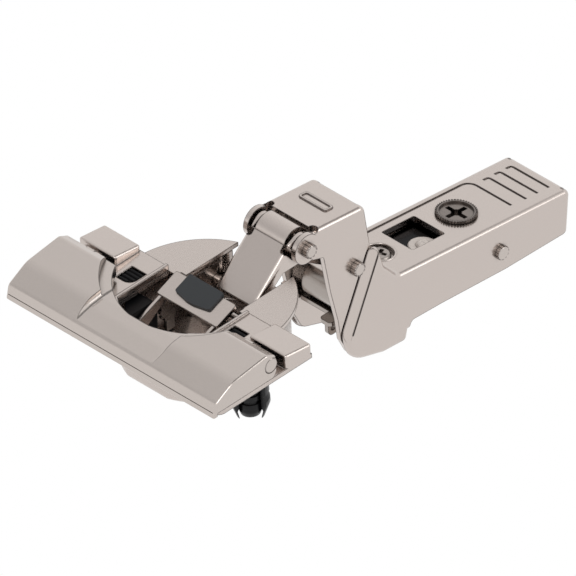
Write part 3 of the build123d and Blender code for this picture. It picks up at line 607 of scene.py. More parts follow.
def pressed(blank: bpy.types.Object, steps: list[tuple], rim_mm: float,
            finish: bpy.types.Material) -> bpy.types.Object:
    """Round a blank's rims, cut it and move it into the hinge's frame.

    Args:
        blank: solid in millimetres of the arm's frame.
        steps: kind of cut and the solid that makes it, in order.
        rim_mm: rounding of the two side faces' rims.
        finish: material of the piece.

    Returns:
        The finished piece.
    """
    mesh = blank.data
    half = max(abs(v.co.y) for v in mesh.vertices)
    weights = mesh.attributes.new("bevel_weight_edge", "FLOAT", "EDGE")
    for edge in mesh.edges:
        ends = [mesh.vertices[i].co for i in edge.vertices]
        outer = all(abs(abs(end.y) - half) < SAME_MM for end in ends)
        if outer and ends[0].y * ends[1].y > 0:
            weights.data[edge.index].value = 1.0
    bevel = blank.modifiers.new("rims", "BEVEL")
    bevel.limit_method = "WEIGHT"
    bevel.width = rim_mm
    bevel.segments = 6
    bevel.use_clamp_overlap = False
    for kind, tool in steps:
        cut = blank.modifiers.new("cut", "BOOLEAN")
        cut.operation = kind
        cut.solver = "EXACT"
        cut.object = tool
    graph = bpy.context.evaluated_depsgraph_get()
    raw = bpy.data.meshes.new_from_object(blank.evaluated_get(graph))
    work = bmesh.new()
    work.from_mesh(raw)
    bmesh.ops.remove_doubles(work, verts=work.verts, dist=WELD_MM)
    for vertex in work.verts:
        vertex.co = from_arm(*vertex.co)
    work.to_mesh(raw)
    work.free()
    for old in [blank] + [tool for _, tool in steps]:
        bpy.data.objects.remove(old)
    raw.name = mesh.name
    raw.materials.clear()
    raw.materials.append(finish)
    raw.shade_smooth()
    raw.set_sharp_from_angle(angle=SMOOTH_TURN)
    shell = link(mesh.name, raw)
    level = shell.modifiers.new("flats", "WEIGHTED_NORMAL")
    level.keep_sharp = True
    level.weight = 100
    graph = bpy.context.evaluated_depsgraph_get()
    final = bpy.data.meshes.new_from_object(shell.evaluated_get(graph))
    shell.modifiers.clear()
    shell.data = final
    return shell


def between(knots: tuple, value: float) -> float:
    """Run a value through pairs of old and new values.

    Args:
        knots: pairs of an old and a new value, in rising order.
        value: old value; beyond the pairs it moves with the nearest one.

    Returns:
        The new value.
    """
    if value <= knots[0][0]:
        return value + knots[0][1] - knots[0][0]
    for (a, new_a), (b, new_b) in zip(knots, knots[1:]):
        if value <= b:
            return new_a + (new_b - new_a) * (value - a) / (b - a)
    return value + knots[-1][1] - knots[-1][0]


def stretched(node: str, name: str, move: Callable[[Vector], Vector],
              finish: bpy.types.Material) -> bpy.types.Object:
    """Make a merged copy of a CAD node with its faces moved.

    Args:
        node: name of the CAD node.
        name: name of the new piece.
        move: new place in millimetres for each old one.
        finish: material of the piece.

    Returns:
        The new piece, which replaces the node.
    """
    work = bmesh.new()
    work.from_mesh(frame["nodes"][node].data)
    bmesh.ops.remove_doubles(work, verts=work.verts, dist=SAME_MM * MM)
    for vertex in work.verts:
        vertex.co = move(vertex.co / MM) * MM
    piece = keep(work, name, finish)
    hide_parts(node)
    return piece


@dataclass
class Former:
    """Node tree with named sizes that forms one piece."""

    name: str
    sizes: dict[str, float]
    tree: bpy.types.NodeTree = field(init=False)
    entry: bpy.types.Node = field(init=False)

    def __post_init__(self) -> None:
        """Start the tree and its named inputs."""
        self.tree = bpy.data.node_groups.new(self.name, "GeometryNodeTree")
        self.tree.interface.new_socket("Path", in_out="INPUT", socket_type="NodeSocketGeometry")
        for name in self.sizes:
            self.tree.interface.new_socket(name, in_out="INPUT", socket_type="NodeSocketFloat")
        self.tree.interface.new_socket("Finish", in_out="INPUT", socket_type="NodeSocketMaterial")
        self.tree.interface.new_socket("Piece", in_out="OUTPUT", socket_type="NodeSocketGeometry")
        self.entry = add_node(self.tree, "NodeGroupInput")

    def size(self, name: str) -> bpy.types.NodeSocket:
        """Give the socket of a named size."""
        return self.entry.outputs[name]

    def wire(self, path: bpy.types.NodeSocket, radius: bpy.types.NodeSocket,
             facets: int = 10) -> bpy.types.NodeSocket:
        """Sweep a round wire along a path.

        Args:
            path: curve that the wire follows.
            radius: radius of the wire.
            facets: number of sides of the wire.

        Returns:
            The wire's mesh.
        """
        ring = add_node(self.tree, "GeometryNodeCurvePrimitiveCircle",
                        inputs={"Resolution": facets, "Radius": radius})
        tube = add_node(self.tree, "GeometryNodeCurveToMesh", inputs={
            "Curve": path, "Profile Curve": ring.outputs["Curve"], "Fill Caps": True})
        return tube.outputs["Mesh"]

    def rod(self, start: Vector, end: Vector, facets: int = 10) -> bpy.types.NodeSocket:
        """Run a straight wire of the size "Wire" between two places.

        Args:
            start: where it starts, in metres.
            end: where it ends.
            facets: number of sides of the wire.

        Returns:
            The wire's mesh.
        """
        line = add_node(self.tree, "GeometryNodeCurvePrimitiveLine",
                        inputs={"Start": start, "End": end})
        return self.wire(line.outputs["Curve"], self.size("Wire"), facets)

    def ribs(self, out: Vector, turn: float, count: int) -> bpy.types.NodeSocket:
        """Repeat a square bar of the sizes "Rib" and "Length" round the Z axis.

        Args:
            out: place of the first bar's middle, in metres.
            turn: how far each bar is turned about its own length.
            count: how many there are.

        Returns:
            The ring of instances.
        """
        size = add_node(self.tree, "ShaderNodeCombineXYZ", inputs={
            "X": self.size("Rib"), "Y": self.size("Rib"), "Z": self.size("Length")})
        rib = add_node(self.tree, "GeometryNodeMeshCube", inputs={"Size": size.outputs[0]})
        return self.ring_of(self.place(rib.outputs["Mesh"], out, (0.0, 0.0, turn)), count)

    def place(self, mesh: bpy.types.NodeSocket, move: Vector, turn: tuple) -> bpy.types.NodeSocket:
        """Turn a mesh and move it to its place."""
        return add_node(self.tree, "GeometryNodeTransform", inputs={
            "Geometry": mesh, "Translation": move, "Rotation": turn}).outputs["Geometry"]

    def ring_of(self, mesh: bpy.types.NodeSocket, count: int) -> bpy.types.NodeSocket:
        """Repeat a mesh evenly round the Z axis.

        Args:
            mesh: what is repeated, already out at its radius.
            count: how many there are.

        Returns:
            The ring of instances.
        """
        points = add_node(self.tree, "GeometryNodePoints", inputs={"Count": count})
        number = add_node(self.tree, "GeometryNodeInputIndex")
        angle = add_node(self.tree, "ShaderNodeMath", {"operation": "MULTIPLY"},
                         {0: number.outputs[0], 1: 2 * math.pi / count})
        turn = add_node(self.tree, "ShaderNodeCombineXYZ", inputs={"Z": angle.outputs[0]})
        ring = add_node(self.tree, "GeometryNodeInstanceOnPoints", inputs={
            "Points": points.outputs[0], "Instance": mesh, "Rotation": turn.outputs[0]})
        return ring.outputs["Instances"]

    def form(self, parts: list[bpy.types.NodeSocket], finish: bpy.types.Material,
             smooth: bool = True, path: tuple = ()) -> bpy.types.Object:
        """Close the tree, run it and keep what it makes as a plain mesh.

        Args:
            parts: meshes that make up the piece.
            finish: material of the piece.
            smooth: whether the faces are shaded smooth.
            path: points in metres of the path that the tree follows, if it follows one.

        Returns:
            The finished piece.
        """
        joined = add_node(self.tree, "GeometryNodeJoinGeometry")
        for part in parts:
            self.tree.links.new(part, joined.inputs[0])
        real = add_node(self.tree, "GeometryNodeRealizeInstances", inputs={0: joined.outputs[0]})
        shaded = add_node(self.tree, "GeometryNodeSetShadeSmooth", inputs={
            "Geometry": real.outputs[0], "Shade Smooth": smooth})
        dressed = add_node(self.tree, "GeometryNodeSetMaterial", inputs={
            "Geometry": shaded.outputs["Geometry"], "Material": self.size("Finish")})
        add_node(self.tree, "NodeGroupOutput", inputs={"Piece": dressed.outputs["Geometry"]})
        start = bpy.data.meshes.new(self.name)
        start.from_pydata(list(path), [(i, i + 1) for i in range(len(path) - 1)], [])
        blank = link(self.name + "_blank", start)
        grow = blank.modifiers.new(self.name, "NODES")
        grow.node_group = self.tree
        values = dict(self.sizes, Finish=finish)
        for item in self.tree.interface.items_tree:
            if item.name in values:
                grow[item.identifier] = values[item.name]
        graph = bpy.context.evaluated_depsgraph_get()
        mesh = bpy.data.meshes.new_from_object(blank.evaluated_get(graph))
        mesh.name = self.name
        blank.modifiers.remove(grow)
        bpy.data.objects.remove(blank)
        return link(self.name, mesh)


@dataclass
class Splines:
    """Splines round both ends of some cross pins."""

    places_mm: tuple                             # middle of each pin, in the hinge's frame
    radius_mm: float
    reach_mm: tuple                              # where they start and stop across the hinge
    rib_mm: float = 0.42
    sunk_mm: float = 0.09                        # how deep a rib's middle lies in the pin
    count: int = 11

    def roll(self, name: str, finish: bpy.types.Material) -> bpy.types.Object:
        """Roll the splines onto the pins.

        Args:
            name: name of the piece.
            finish: material of the piece.

        Returns:
            The splines of all ends as one piece.
        """
        start, stop = self.reach_mm
        former = Former(name, {"Rib": self.rib_mm * MM, "Length": (stop - start) * MM})
        out = Vector((self.radius_mm - self.sunk_mm, 0.0, 0.0)) * MM
        ring = former.ribs(out, 0.0, self.count)
        ends = []
        for x, z in self.places_mm:
            for side in (-1, 1):
                middle = Vector((x, side * (start + stop) / 2, z)) * MM
                ends.append(former.place(ring, middle, (math.pi / 2, 0.0, 0.0)))
        return former.form(ends, finish, smooth=False)


# ------------------------------------------------------------------------------ sub-assemblies
@dataclass
class SubAssembly:
    """Group of CAD nodes with the finish of each."""

    dresser: Dresser
    finishes: dict[str, Finish]

    def build(self) -> None:
        """Dress every node of the group."""
        for node, finish in self.finishes.items():
            self.dresser.dress(node, finish)


@dataclass
class CupGroup(SubAssembly):
    """Cup, base plate, pads, dowels and the pins that the cup holds."""

    finishes: dict[str, Finish] = field(default_factory=lambda: {
        "cup": Finish.CUP_NICKEL, "base_plate": Finish.PLATE_NICKEL,
        "plate_pad_left": Finish.BLACK, "plate_pad_right": Finish.BLACK,
        "dowel_left": Finish.BLACK, "dowel_right": Finish.BLACK,
        "spreader_left": Finish.BLACK, "spreader_right": Finish.BLACK,
        "cup_pin_outer": Finish.PIN, "cup_pin_inner": Finish.PIN, "bridge_pin": Finish.PIN})
    cup_levels_mm: tuple = ((-12.2, -13.0), (-9.6, -9.6))      # old and new heights
    core_levels_mm: tuple = ((-12.6, -11.2), (-9.4, -8.7), (-7.4, -7.4), (-6.9, -6.7),
                             (-6.5, -6.0), (-4.2, -4.4), (-2.6, -2.6))
    core_widths: tuple = (                       # height and how much wider it gets
        (-12.6, 1.05), (-10.6, 0.96), (-10.0, 0.96), (-9.4, 1.12), (-4.0, 1.12), (-3.5, 1.0))
    collar_mm: tuple = (                         # radius and height
        (2.3, 1.75), (3.7, 1.75), (3.7, 1.55), (2.9, 1.55), (2.9, 0.0), (3.35, 0.0),
        (3.35, -2.6), (2.3, -2.6))
    collar_facets: int = 40
    wing_mm: tuple = (                           # radius and height, with two barbs
        (2.52, -2.4), (3.3, -2.4), (3.85, -3.2), (3.95, -5.2), (3.4, -5.9), (4.05, -6.9),
        (4.1, -7.9), (2.9, -11.2), (2.75, -11.2), (3.2, -9.4), (2.75, -8.6))
    wing_half_turn: float = 38.0                 # degrees
    wing_facets: int = 12
    dowel_x_mm: float = -9.5
    dowel_y_mm: float = 22.5

    def build(self) -> None:
        """Dress the nodes, draw the cup deeper and mould the dowels round shorter cores."""
        super().build()
        cup = stretched("cup", "cup_shell", self.deepen, self.dresser.material(Finish.CUP_NICKEL))
        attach(cup, "cup_assembly")
        black = self.dresser.material(Finish.DOWEL)
        for side, sign in (("left", 1), ("right", -1)):
            dowel = self.mould_dowel(f"dowel_{side}_form", sign)
            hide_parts(f"dowel_{side}")
            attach(dowel, "cup_assembly")
            core = stretched(f"spreader_{side}", f"spreader_{side}_form", self.shorten, black)
            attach(core, "spreaders")

    def deepen(self, place: Vector) -> Vector:
        """Lower the cup's floor."""
        return Vector((place.x, place.y, between(self.cup_levels_mm, place.z)))

    def shorten(self, place: Vector) -> Vector:
        """Shorten a dowel's core below the plate and widen its shank.

        Args:
            place: old place in millimetres.

        Returns:
            The new place.
        """
        side = math.copysign(self.dowel_y_mm, place.y)
        axis = Vector((self.dowel_x_mm, side, 0.0))
        width = between(self.core_widths, place.z) if place.z < self.core_widths[-1][0] else 1.0
        out = Vector((place.x - axis.x, place.y - axis.y, 0.0)) * width
        below = place.z < self.core_levels_mm[-1][0]
        new_z = between(self.core_levels_mm, place.z) if below else place.z
        return axis + out + Vector((0.0, 0.0, new_z))

    def mould_dowel(self, name: str, side: int) -> bpy.types.Object:
        """Mould a collar and two barbed wings round the core.

        Args:
            name: name of the piece.
            side: 1 for the left dowel, -1 for the right one.

        Returns:
            The dowel.
        """
        work = bmesh.new()
        centre = Vector((self.dowel_x_mm, side * self.dowel_y_mm))
        sweep(work, centre, self.collar_mm, 0.0, math.pi, self.collar_facets)
        half = math.radians(self.wing_half_turn)
        for turn in (0.0, math.pi):
            sweep(work, centre, self.wing_mm, side * math.pi / 4 + turn, half,
                  self.wing_facets)
        bmesh.ops.recalc_face_normals(work, faces=work.faces)
        return keep(work, name, self.dresser.material(Finish.DOWEL))


@dataclass
class MouthGroup(SubAssembly):
    """Soft-close parts in the cup's mouth."""

    finishes: dict[str, Finish] = field(default_factory=lambda: {
        "bridge_plate": Finish.NICKEL, "damper_switch": Finish.GREY,
        "damper_housing": Finish.BLACK, "damper_plunger": Finish.PIN,
        "damper_washer": Finish.SIDE_NICKEL})
    slope: tuple = (0.9285, 0.0, 0.3714)         # up along the bridge plate
    cap_middle_mm: tuple = (-1.13, 0.25, 1.99)
    cap_low_mm: float = -1.86                    # its lower edge, along the slope
    cap_longer_mm: float = 1.3
    cap_thicker_mm: float = 0.35
    cap_wider: float = 1.04
    cap_bow_mm: float = 0.5                      # bow of the lower edge
    notch_mm: tuple = (-0.52, 1.32)              # its sides across the cap

    def build(self) -> None:
        """Dress the nodes and draw the switch's cap over the plate's upper edge."""
        super().build()
        cap = stretched("damper_switch", "switch_cap", self.draw_cap,
                        self.dresser.material(Finish.GREY))
        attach(cap, "switch")

    def draw_cap(self, place: Vector) -> Vector:
        """Lengthen the cap up the slope, thicken it and close its notch.

        Args:
            place: old place in millimetres.

        Returns:
            The new place.
        """
        up = Vector(self.slope)
        out = up.cross(Vector((0.0, -1.0, 0.0)))
        away = place - Vector(self.cap_middle_mm)
        along = away.dot(up)
        low, high = self.notch_mm
        if along > 0:
            along += self.cap_longer_mm
        elif low < place.y < high:
            along = self.cap_low_mm - self.cap_bow_mm
        rise = away.dot(out)
        rise += self.cap_thicker_mm if rise > 0 else 0.0
        across = Vector((0.0, away.y * self.cap_wider, 0.0))
        return Vector(self.cap_middle_mm) + up * along + across + out * rise


@dataclass
class CoverGroup(SubAssembly):
    """Flip-up cover with its pins."""

    finishes: dict[str, Finish] = field(default_factory=lambda: {
        "cover_lever": Finish.COVER_NICKEL, "lever_pin_left": Finish.PIN,
        "lever_pin_right": Finish.PIN})
    reflection_line_mm: tuple = (-26.0, 29.0, 1.5)   # front face, half length and height
    reflection_line_wire_mm: float = 0.07
    reflection_line_facets: int = 8

    def build(self) -> None:
        """Dress the nodes and lay a dark wire along the cover's foot as a painted reflection line.
        """
        super().build()
        reflection_line = self.lay_reflection_line()
        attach(reflection_line, "cover")

    def lay_reflection_line(self) -> bpy.types.Object:
        """Lay a thin dark wire along the foot of the cover's front face, a painted reflection of a
        dark band.

        Returns:
            The painted reflection line.
        """
        x, half, z = self.reflection_line_mm
        former = Former("cover_crease", {"Wire": self.reflection_line_wire_mm * MM})
        wire = former.rod(Vector((x, -half, z)) * MM, Vector((x, half, z)) * MM,
                          self.reflection_line_facets)
        return former.form([wire], self.dresser.material(Finish.CREASE))


@dataclass
class LinkGroup(SubAssembly):
    """Links, the arm's head and its springs and pins."""

    finishes: dict[str, Finish] = field(default_factory=lambda: {
        "channel_link": Finish.NICKEL, "inner_link": Finish.NICKEL,
        "arm_head": Finish.NICKEL, "head_pin_outer": Finish.PIN,
        "head_pin_inner": Finish.PIN, "closing_spring": Finish.SPRING,
        "spring_anchor": Finish.SPRING})
    half_mm: float = 7.4
    wall_mm: float = 1.2
    top_mm: float = 10.0
    rim_mm: float = 1.15
    back_mm: tuple = (                           # top and rear of the head, then the carrier
        (10, 10.0), (38.2, 10.0, 1.6), (40.7, -0.4, 1.6), (41.2, -7.5, 3.0),
        (46.6, -12.8, 2.0), (78.5, -12.8, 2.0), (81.0, -16.5, 2.0), (81.0, -40), (10, -40))
    front_mm: tuple = (                          # front and lower edge, and beyond the rest
        (24.1, 12), (90, 12), (90, -19.0), (79.0, -20.1, 1.5), (60.0, -21.1),
        (52.6, -22.0, 1.5), (50.0, -25.6, 1.5), (43.0, -26.2, 3.0), (36.0, -24.6, 3.0),
        (33.2, -20.0, 1.0), (32.0, -14.8), (29.4, -7.1), (26.7, 2.6, 0.8), (23.5, 3.3),
        (21.0, 8.4), (24.1, 10.0))
    tab_mm: tuple = (21.78, 6.59, 3.4)          # round tab about the outer pin
    room_mm: tuple = (                           # what the sheet's walls enclose
        (10, -40), (90, -40), (90, 8.8), (56, 8.8), (56, -13.8), (46.8, -13.8), (46.8, 8.8),
        (24.1, 8.8), (24.1, 20), (10, 20))
    gap_mm: tuple = (37.5, 42.0)                 # opening through the top's rear, along u
    gap_side_mm: float = 0.6                     # what it leaves beside the walls
    gap_low_mm: float = -4.0
    screw_hole_mm: tuple = (50.9, 2.15)          # along u, and radius
    carrier_mm: tuple = (-16.0, -11.0)           # levels below and above the carrier's floor
    pin_hole_mm: tuple = (77.25, -16.5, 1.6)     # u, w and radius
    pin_hole_reach_mm: tuple = (0.5, 9.0)        # start inside the wall's inner face, and end
    dimple_mm: tuple = (24.4, 1.0)               # along u, and radius
    dimple_levels_mm: tuple = (6.0, 12.0)
    dimple_facets: int = 20
    raised_mm: tuple = ((30.5, -3.6), (33.0, -3.6), (33.0, 4.2), (30.5, 4.2))
    raised_round_mm: float = 0.6
    raised_levels_mm: tuple = (0.2, 0.3)         # below and above the top
    well_middle_mm: tuple = (31.75, 0.3)
    well_scale: tuple = (0.64, 0.88)             # of the raised rim, along u and across
    well_round_mm: float = 0.4
    well_floor_mm: float = 0.06                  # above the top
    pins_mm: tuple = ((22.4, 4.0), (35.5, -7.9))  # the head's two pins, in the hinge's frame
    pin_radius_mm: float = 1.45
    pin_end_mm: float = 8.7

    def build(self) -> None:
        """Dress the nodes, press the head's shell and spline its pins."""
        super().build()
        shell = self.press_head()
        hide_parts("arm_head")
        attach(shell, "head")
        splines = Splines(self.pins_mm, self.pin_radius_mm, (self.half_mm, self.pin_end_mm)).roll(
            "head_pin_splines", self.dresser.material(Finish.PIN))
        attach(splines, "head")

    def press_head(self) -> bpy.types.Object:
        """Press the head and its carrier from one sheet.

        Returns:
            The head's shell.
        """
        half, inner, top = self.half_mm, self.half_mm - self.wall_mm, self.top_mm
        blank = solid("head_shell", [(rounded(self.back_mm), -half, half, Draw.SIDE)])
        front = solid("front", [(rounded(self.front_mm), -half - PAST_MM, half + PAST_MM,
                                 Draw.SIDE)])
        tab = solid("tab", [(round_hole(*self.tab_mm), -half, half, Draw.SIDE)])
        room = solid("room", [(rounded(self.room_mm), -inner, inner, Draw.SIDE)])
        holes = solid("holes", self.head_holes(inner, top + PAST_MM))
        low, high = self.raised_levels_mm
        rim = rounded([(*corner, self.raised_round_mm) for corner in self.raised_mm])
        raised = solid("raised", [(rim, top - low, top + high, Draw.TOP)])
        u0, y0 = self.well_middle_mm
        along, across = self.well_scale
        well = rounded([(u0 + (u - u0) * along, y0 + (y - y0) * across, self.well_round_mm)
                        for u, y in self.raised_mm])
        sunk = solid("well", [(well, top + self.well_floor_mm, top + PAST_MM, Draw.TOP)])
        steps = [("INTERSECT", front), ("UNION", tab), ("DIFFERENCE", room),
                 ("DIFFERENCE", holes), ("UNION", raised), ("DIFFERENCE", sunk)]
        return pressed(blank, steps, self.rim_mm, self.dresser.material(Finish.NICKEL))

    def head_holes(self, inner: float, over: float) -> list[tuple]:
        """Lay out what is punched out of the head and its carrier.

        Args:
            inner: place of the walls' inner faces.
            over: level above the top that the gap is cut from.

        Returns:
            The prisms of the holes.
        """
        u0, u1 = self.gap_mm
        side = inner - self.gap_side_mm
        gap = rounded(((u0, -side), (u1, -side), (u1, side), (u0, side)))
        u, radius = self.screw_hole_mm
        pin = round_hole(*self.pin_hole_mm)
        within, reach = self.pin_hole_reach_mm
        holes = [(gap, self.gap_low_mm, over, Draw.TOP),
                 (round_hole(u, 0.0, radius), *self.carrier_mm, Draw.TOP),
                 (pin, -reach, -inner + within, Draw.SIDE),
                 (pin, inner - within, reach, Draw.SIDE)]
        u, radius = self.dimple_mm
        return holes + [(round_hole(u, y, radius, self.dimple_facets), *self.dimple_levels_mm,
                         Draw.TOP) for y in (-inner, inner)]


@dataclass
class ArmGroup(SubAssembly):
    """Arm with its screws, carriage and release lever."""

    finishes: dict[str, Finish] = field(default_factory=lambda: {
        "arm": Finish.NICKEL, "arm_pin": Finish.PIN, "side_screw": Finish.SIDE_NICKEL,
        "cam_screw": Finish.DARK_NICKEL, "clip_carriage": Finish.SLIDE,
        "latch_lever": Finish.NICKEL, "latch_pin": Finish.PIN,
        "latch_spring": Finish.SPRING})
    latch_place_mm: tuple = (90.6, -15.8)   # latch pin in the arm's frame
    coil_radius_mm: float = 1.8
    wire_radius_mm: float = 0.36
    coil_facets: int = 28                   # to the turn
    coil_turns: float = 5.25
    coil_length_mm: float = 3.7
    down_leg_mm: float = 2.5
    back_leg_mm: float = 6.0
    screw_u_mm: float = 50.9
    thread_ridge_mm: float = 0.16
    thread_facets: int = 32                 # to the turn
    ridge_sides: int = 6
    thread_radius_mm: float = 1.86
    thread_low_mm: float = -15.3
    thread_pitch_mm: float = 0.7
    thread_turns: float = 3.4
    half_mm: float = 8.85
    wall_mm: float = 1.3
    top_mm: float = -9.85
    rim_mm: float = 1.2
    front_flat_mm: float = 2.0
    front_line_mm: float = 0.3              # groove behind that flat
    front_line_ends_mm: tuple = (2.2, 0.5)  # where it starts below, and ends above, the corners
    outline_mm: tuple = (                       # cheeks, upper edge and a plain lower edge
        (40.45, 2.2, 1.5), (32.9, -18.7, 6.0), (35.4, -25.5, 6.5), (44.7, -27.2, 4.0),
        (51.2, -27.0, 1.2), (51.635, -24.5), (97.2, -24.5), (97.2, -9.85, 1.5),
        (47.6, -9.85, 2.5), (43.6, -6.0, 3.0))
    undercut_mm: tuple = (                      # what the cheeks' lower edges leave away
        (51.6, -40), (51.6, -24.7), (52.0, -22.4, 1.2), (61.0, -21.9, 3.0), (79.0, -21.4, 3.0),
        (97.22, -19.9, 2.0), (97.22, -12.0), (106, -12.0), (106, -40))
    room_mm: tuple = (                          # what the sheet's walls enclose
        (20, -40), (110, -40), (110, -14.0), (95.9, -14.0), (95.9, -11.15),
        (47.07, -11.15, 3.8), (45.0, -9.155), (45.0, 20), (20, 20))
    window_mm: tuple = (56.5, 65.9, -3.8, 5.0)
    window_round_mm: float = 0.4
    groove_mm: tuple = ((49.0, 6.85), (83.6, 6.85, 2.2), (83.6, -5.1))
    groove_width_mm: float = 0.5
    groove_depth_mm: float = 0.3
    grips_u_mm: tuple = (87.6, 90.9, 94.2)
    grip_ends_mm: tuple = (5.25, -5.4)
    grip_hook_mm: float = 1.45
    grip_round_mm: float = 0.6
    end_notch_mm: tuple = (1.4, 3.0)        # length and depth of the notches in the end
    end_notch_side_mm: tuple = (0.5, 0.3)   # inside and outside the cheek's inner face
    recess_mm: float = 3.2
    recess_depth_mm: float = 0.8
    cam_seat_mm: float = 4.25
    cam_seat_depth_mm: float = 0.2
    screw_shaft_mm: float = 2.05
    cam_shaft_mm: float = 3.7
    pin_place_mm: tuple = (77.25, -16.5)
    pin_radius_mm: float = 1.45
    pin_stand_mm: float = 1.0
    pin_rim_mm: float = 0.25
    spline_short_mm: float = 0.1            # bare end of the pin beyond its splines
    boss_place_mm: tuple = (61.4, -2.2)
    boss_radius_mm: float = 3.2
    boss_rim_mm: float = 0.15
    boss_dome_mm: float = 1.72              # clears the slide's own rivet
    dome_from: float = 18.0                 # degrees up from the dome's foot
    dome_step: float = 11.5
    dome_rings: int = 7
    boss_low_mm: float = -12.0
    boss_high_mm: float = -11.45
    recess_radius_mm: float = 3.35
    recess_bead_mm: float = 0.28
    bead_sunk: float = 0.35                 # share of its radius that lies in the plate
    bead_facets: int = 48
    cam_u_mm: float = 73.0
    knurl_count: int = 44
    knurl_radius_mm: float = 4.16
    knurl_rib_mm: float = 0.34
    knurl_rise_mm: float = 0.62
    knurl_middle_mm: float = 0.42           # height of the ribs' middle

    def build(self) -> None:
        """Dress the nodes, press the shell and make what stands on it."""
        super().build()
        plate = self.dresser.material(Finish.NICKEL)
        shell = self.press_arm(plate)
        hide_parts("arm")
        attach(shell, "arm_body")
        pin = self.turn_pin()
        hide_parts("arm_pin")
        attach(pin, "arm_body")
        u, w = self.pin_place_mm
        middle = from_arm(u, 0.0, w) / MM
        reach = (self.half_mm, self.half_mm + self.pin_stand_mm - self.spline_short_mm)
        splines = Splines(((middle.x, middle.z),), self.pin_radius_mm, reach).roll(
            "arm_pin_splines", self.dresser.material(Finish.PIN))
        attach(splines, "arm_body")
        boss = self.turn_boss()
        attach(boss, "carriage")
        spring = self.wind_spring()
        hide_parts("latch_spring")
        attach(spring, "arm_body")
        thread = self.wind_thread()
        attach(thread, "side_adjuster")
        bead = self.roll_bead()
        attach(bead, "arm_body")
        knurl = self.cut_knurl()
        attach(knurl, "depth_cam")

    def press_arm(self, finish: bpy.types.Material) -> bpy.types.Object:
        """Press the arm with its open cheeks from one sheet.

        Args:
            finish: material of the shell.

        Returns:
            The arm's shell.
        """
        half, inner = self.half_mm, self.half_mm - self.wall_mm
        below = self.top_mm - self.wall_mm - PAST_MM
        blank = solid("arm_shell", [(rounded(self.outline_mm), -half, half, Draw.SIDE)])
        room = solid("room", [(rounded(self.room_mm), -inner, inner, Draw.SIDE)])
        shafts = [(round_hole(u, 0.0, radius), below, self.top_mm, Draw.TOP) for u, radius in
                  ((self.screw_u_mm, self.screw_shaft_mm), (self.cam_u_mm, self.cam_shaft_mm))]
        under = solid("undercut", [(rounded(self.undercut_mm), -half - PAST_MM, half + PAST_MM,
                                    Draw.SIDE)])
        corners = [point[:2] for point in self.outline_mm[:2]]
        front = flats("flats", corners, half, self.wall_mm, self.front_flat_mm)
        seats = self.arm_seats(inner, below) + self.front_lines(half)
        steps = [("DIFFERENCE", under), ("DIFFERENCE", room), ("DIFFERENCE", front),
                 ("DIFFERENCE", solid("seats", seats)),
                 ("DIFFERENCE", solid("shafts", shafts))]
        return pressed(blank, steps, self.rim_mm, finish)

    def arm_seats(self, inner: float, below: float) -> list[tuple]:
        """Lay out the window, seats, grooves and notches of the arm's top.

        Args:
            inner: place of the cheeks' inner faces.
            below: level under the sheet that the window is cut from.

        Returns:
            The prisms that are cut away.
        """
        top, over = self.top_mm, self.top_mm + PAST_MM
        u0, u1, y0, y1 = self.window_mm
        radius = self.window_round_mm
        window = rounded(((u0, y0, radius), (u1, y0, radius), (u1, y1, radius), (u0, y1, radius)))
        seats = [(window, below, over, Draw.TOP),
                 (round_hole(self.screw_u_mm, 0.0, self.recess_mm), top - self.recess_depth_mm,
                  over, Draw.TOP),
                 (round_hole(self.cam_u_mm, 0.0, self.cam_seat_mm), top - self.cam_seat_depth_mm,
                  over, Draw.TOP)]
        left, right = self.grip_ends_mm
        lines = [rounded(self.groove_mm, closed=False)]
        lines += [rounded(((u - self.grip_hook_mm, left), (u, left, self.grip_round_mm),
                           (u, right)), closed=False) for u in self.grips_u_mm]
        seats += [(strip(line, self.groove_width_mm), top - self.groove_depth_mm, over,
                   Draw.TOP) for line in lines]
        end = self.outline_mm[6][0]
        length, depth = self.end_notch_mm
        within, without = self.end_notch_side_mm
        for low, high in ((-inner - without, -inner + within), (inner - within, inner + without)):
            notch = [Vector((u, y)) for u, y in (
                (end - length, low), (end + PAST_MM, low), (end + PAST_MM, high),
                (end - length, high))]
            seats.append((notch, top - depth, over, Draw.TOP))
        return seats

    def front_lines(self, half: float) -> list[tuple]:
        """Lay out the groove behind the flat on both cheeks.

        Args:
            half: place of the cheeks' outer faces.

        Returns:
            The prisms that are cut away.
        """
        high, low = (Vector(point[:2]) for point in self.outline_mm[:2])
        along = (high - low).normalized()
        behind = Vector((along.y, -along.x)) * (self.front_flat_mm + self.front_line_mm / 2)
        from_high, from_low = self.front_line_ends_mm
        groove = strip([high - along * from_high + behind, low + along * from_low + behind],
                       self.front_line_mm)
        return [(groove, -half - PAST_MM, -half + self.front_line_mm, Draw.SIDE),
                (groove, half - self.front_line_mm, half + PAST_MM, Draw.SIDE)]

    def turn_pin(self) -> bpy.types.Object:
        """Turn the cross pin that stands out of both cheeks.

        Returns:
            The pin.
        """
        u, w = self.pin_place_mm
        half = self.half_mm + self.pin_stand_mm
        blank = solid("arm_pin_rod", [(round_hole(u, w, self.pin_radius_mm), -half, half,
                                       Draw.SIDE)])
        return pressed(blank, [], self.pin_rim_mm, self.dresser.material(Finish.PIN))

    def turn_boss(self) -> bpy.types.Object:
        """Turn the slide's bright round boss, seen through the arm's window.

        Returns:
            The boss.
        """
        low, high, rim = self.boss_low_mm, self.boss_high_mm, self.boss_rim_mm
        radius, dome = self.boss_radius_mm, self.boss_dome_mm
        profile = [(radius, low), (radius, high - rim), (radius - rim, high)]
        for step in range(self.dome_rings):
            turn = math.radians(self.dome_from + step * self.dome_step)
            profile.append((dome * math.cos(turn), low + dome * math.sin(turn)))
        return turned("slide_boss", self.boss_place_mm, profile,
                      self.dresser.material(Finish.BOSS))

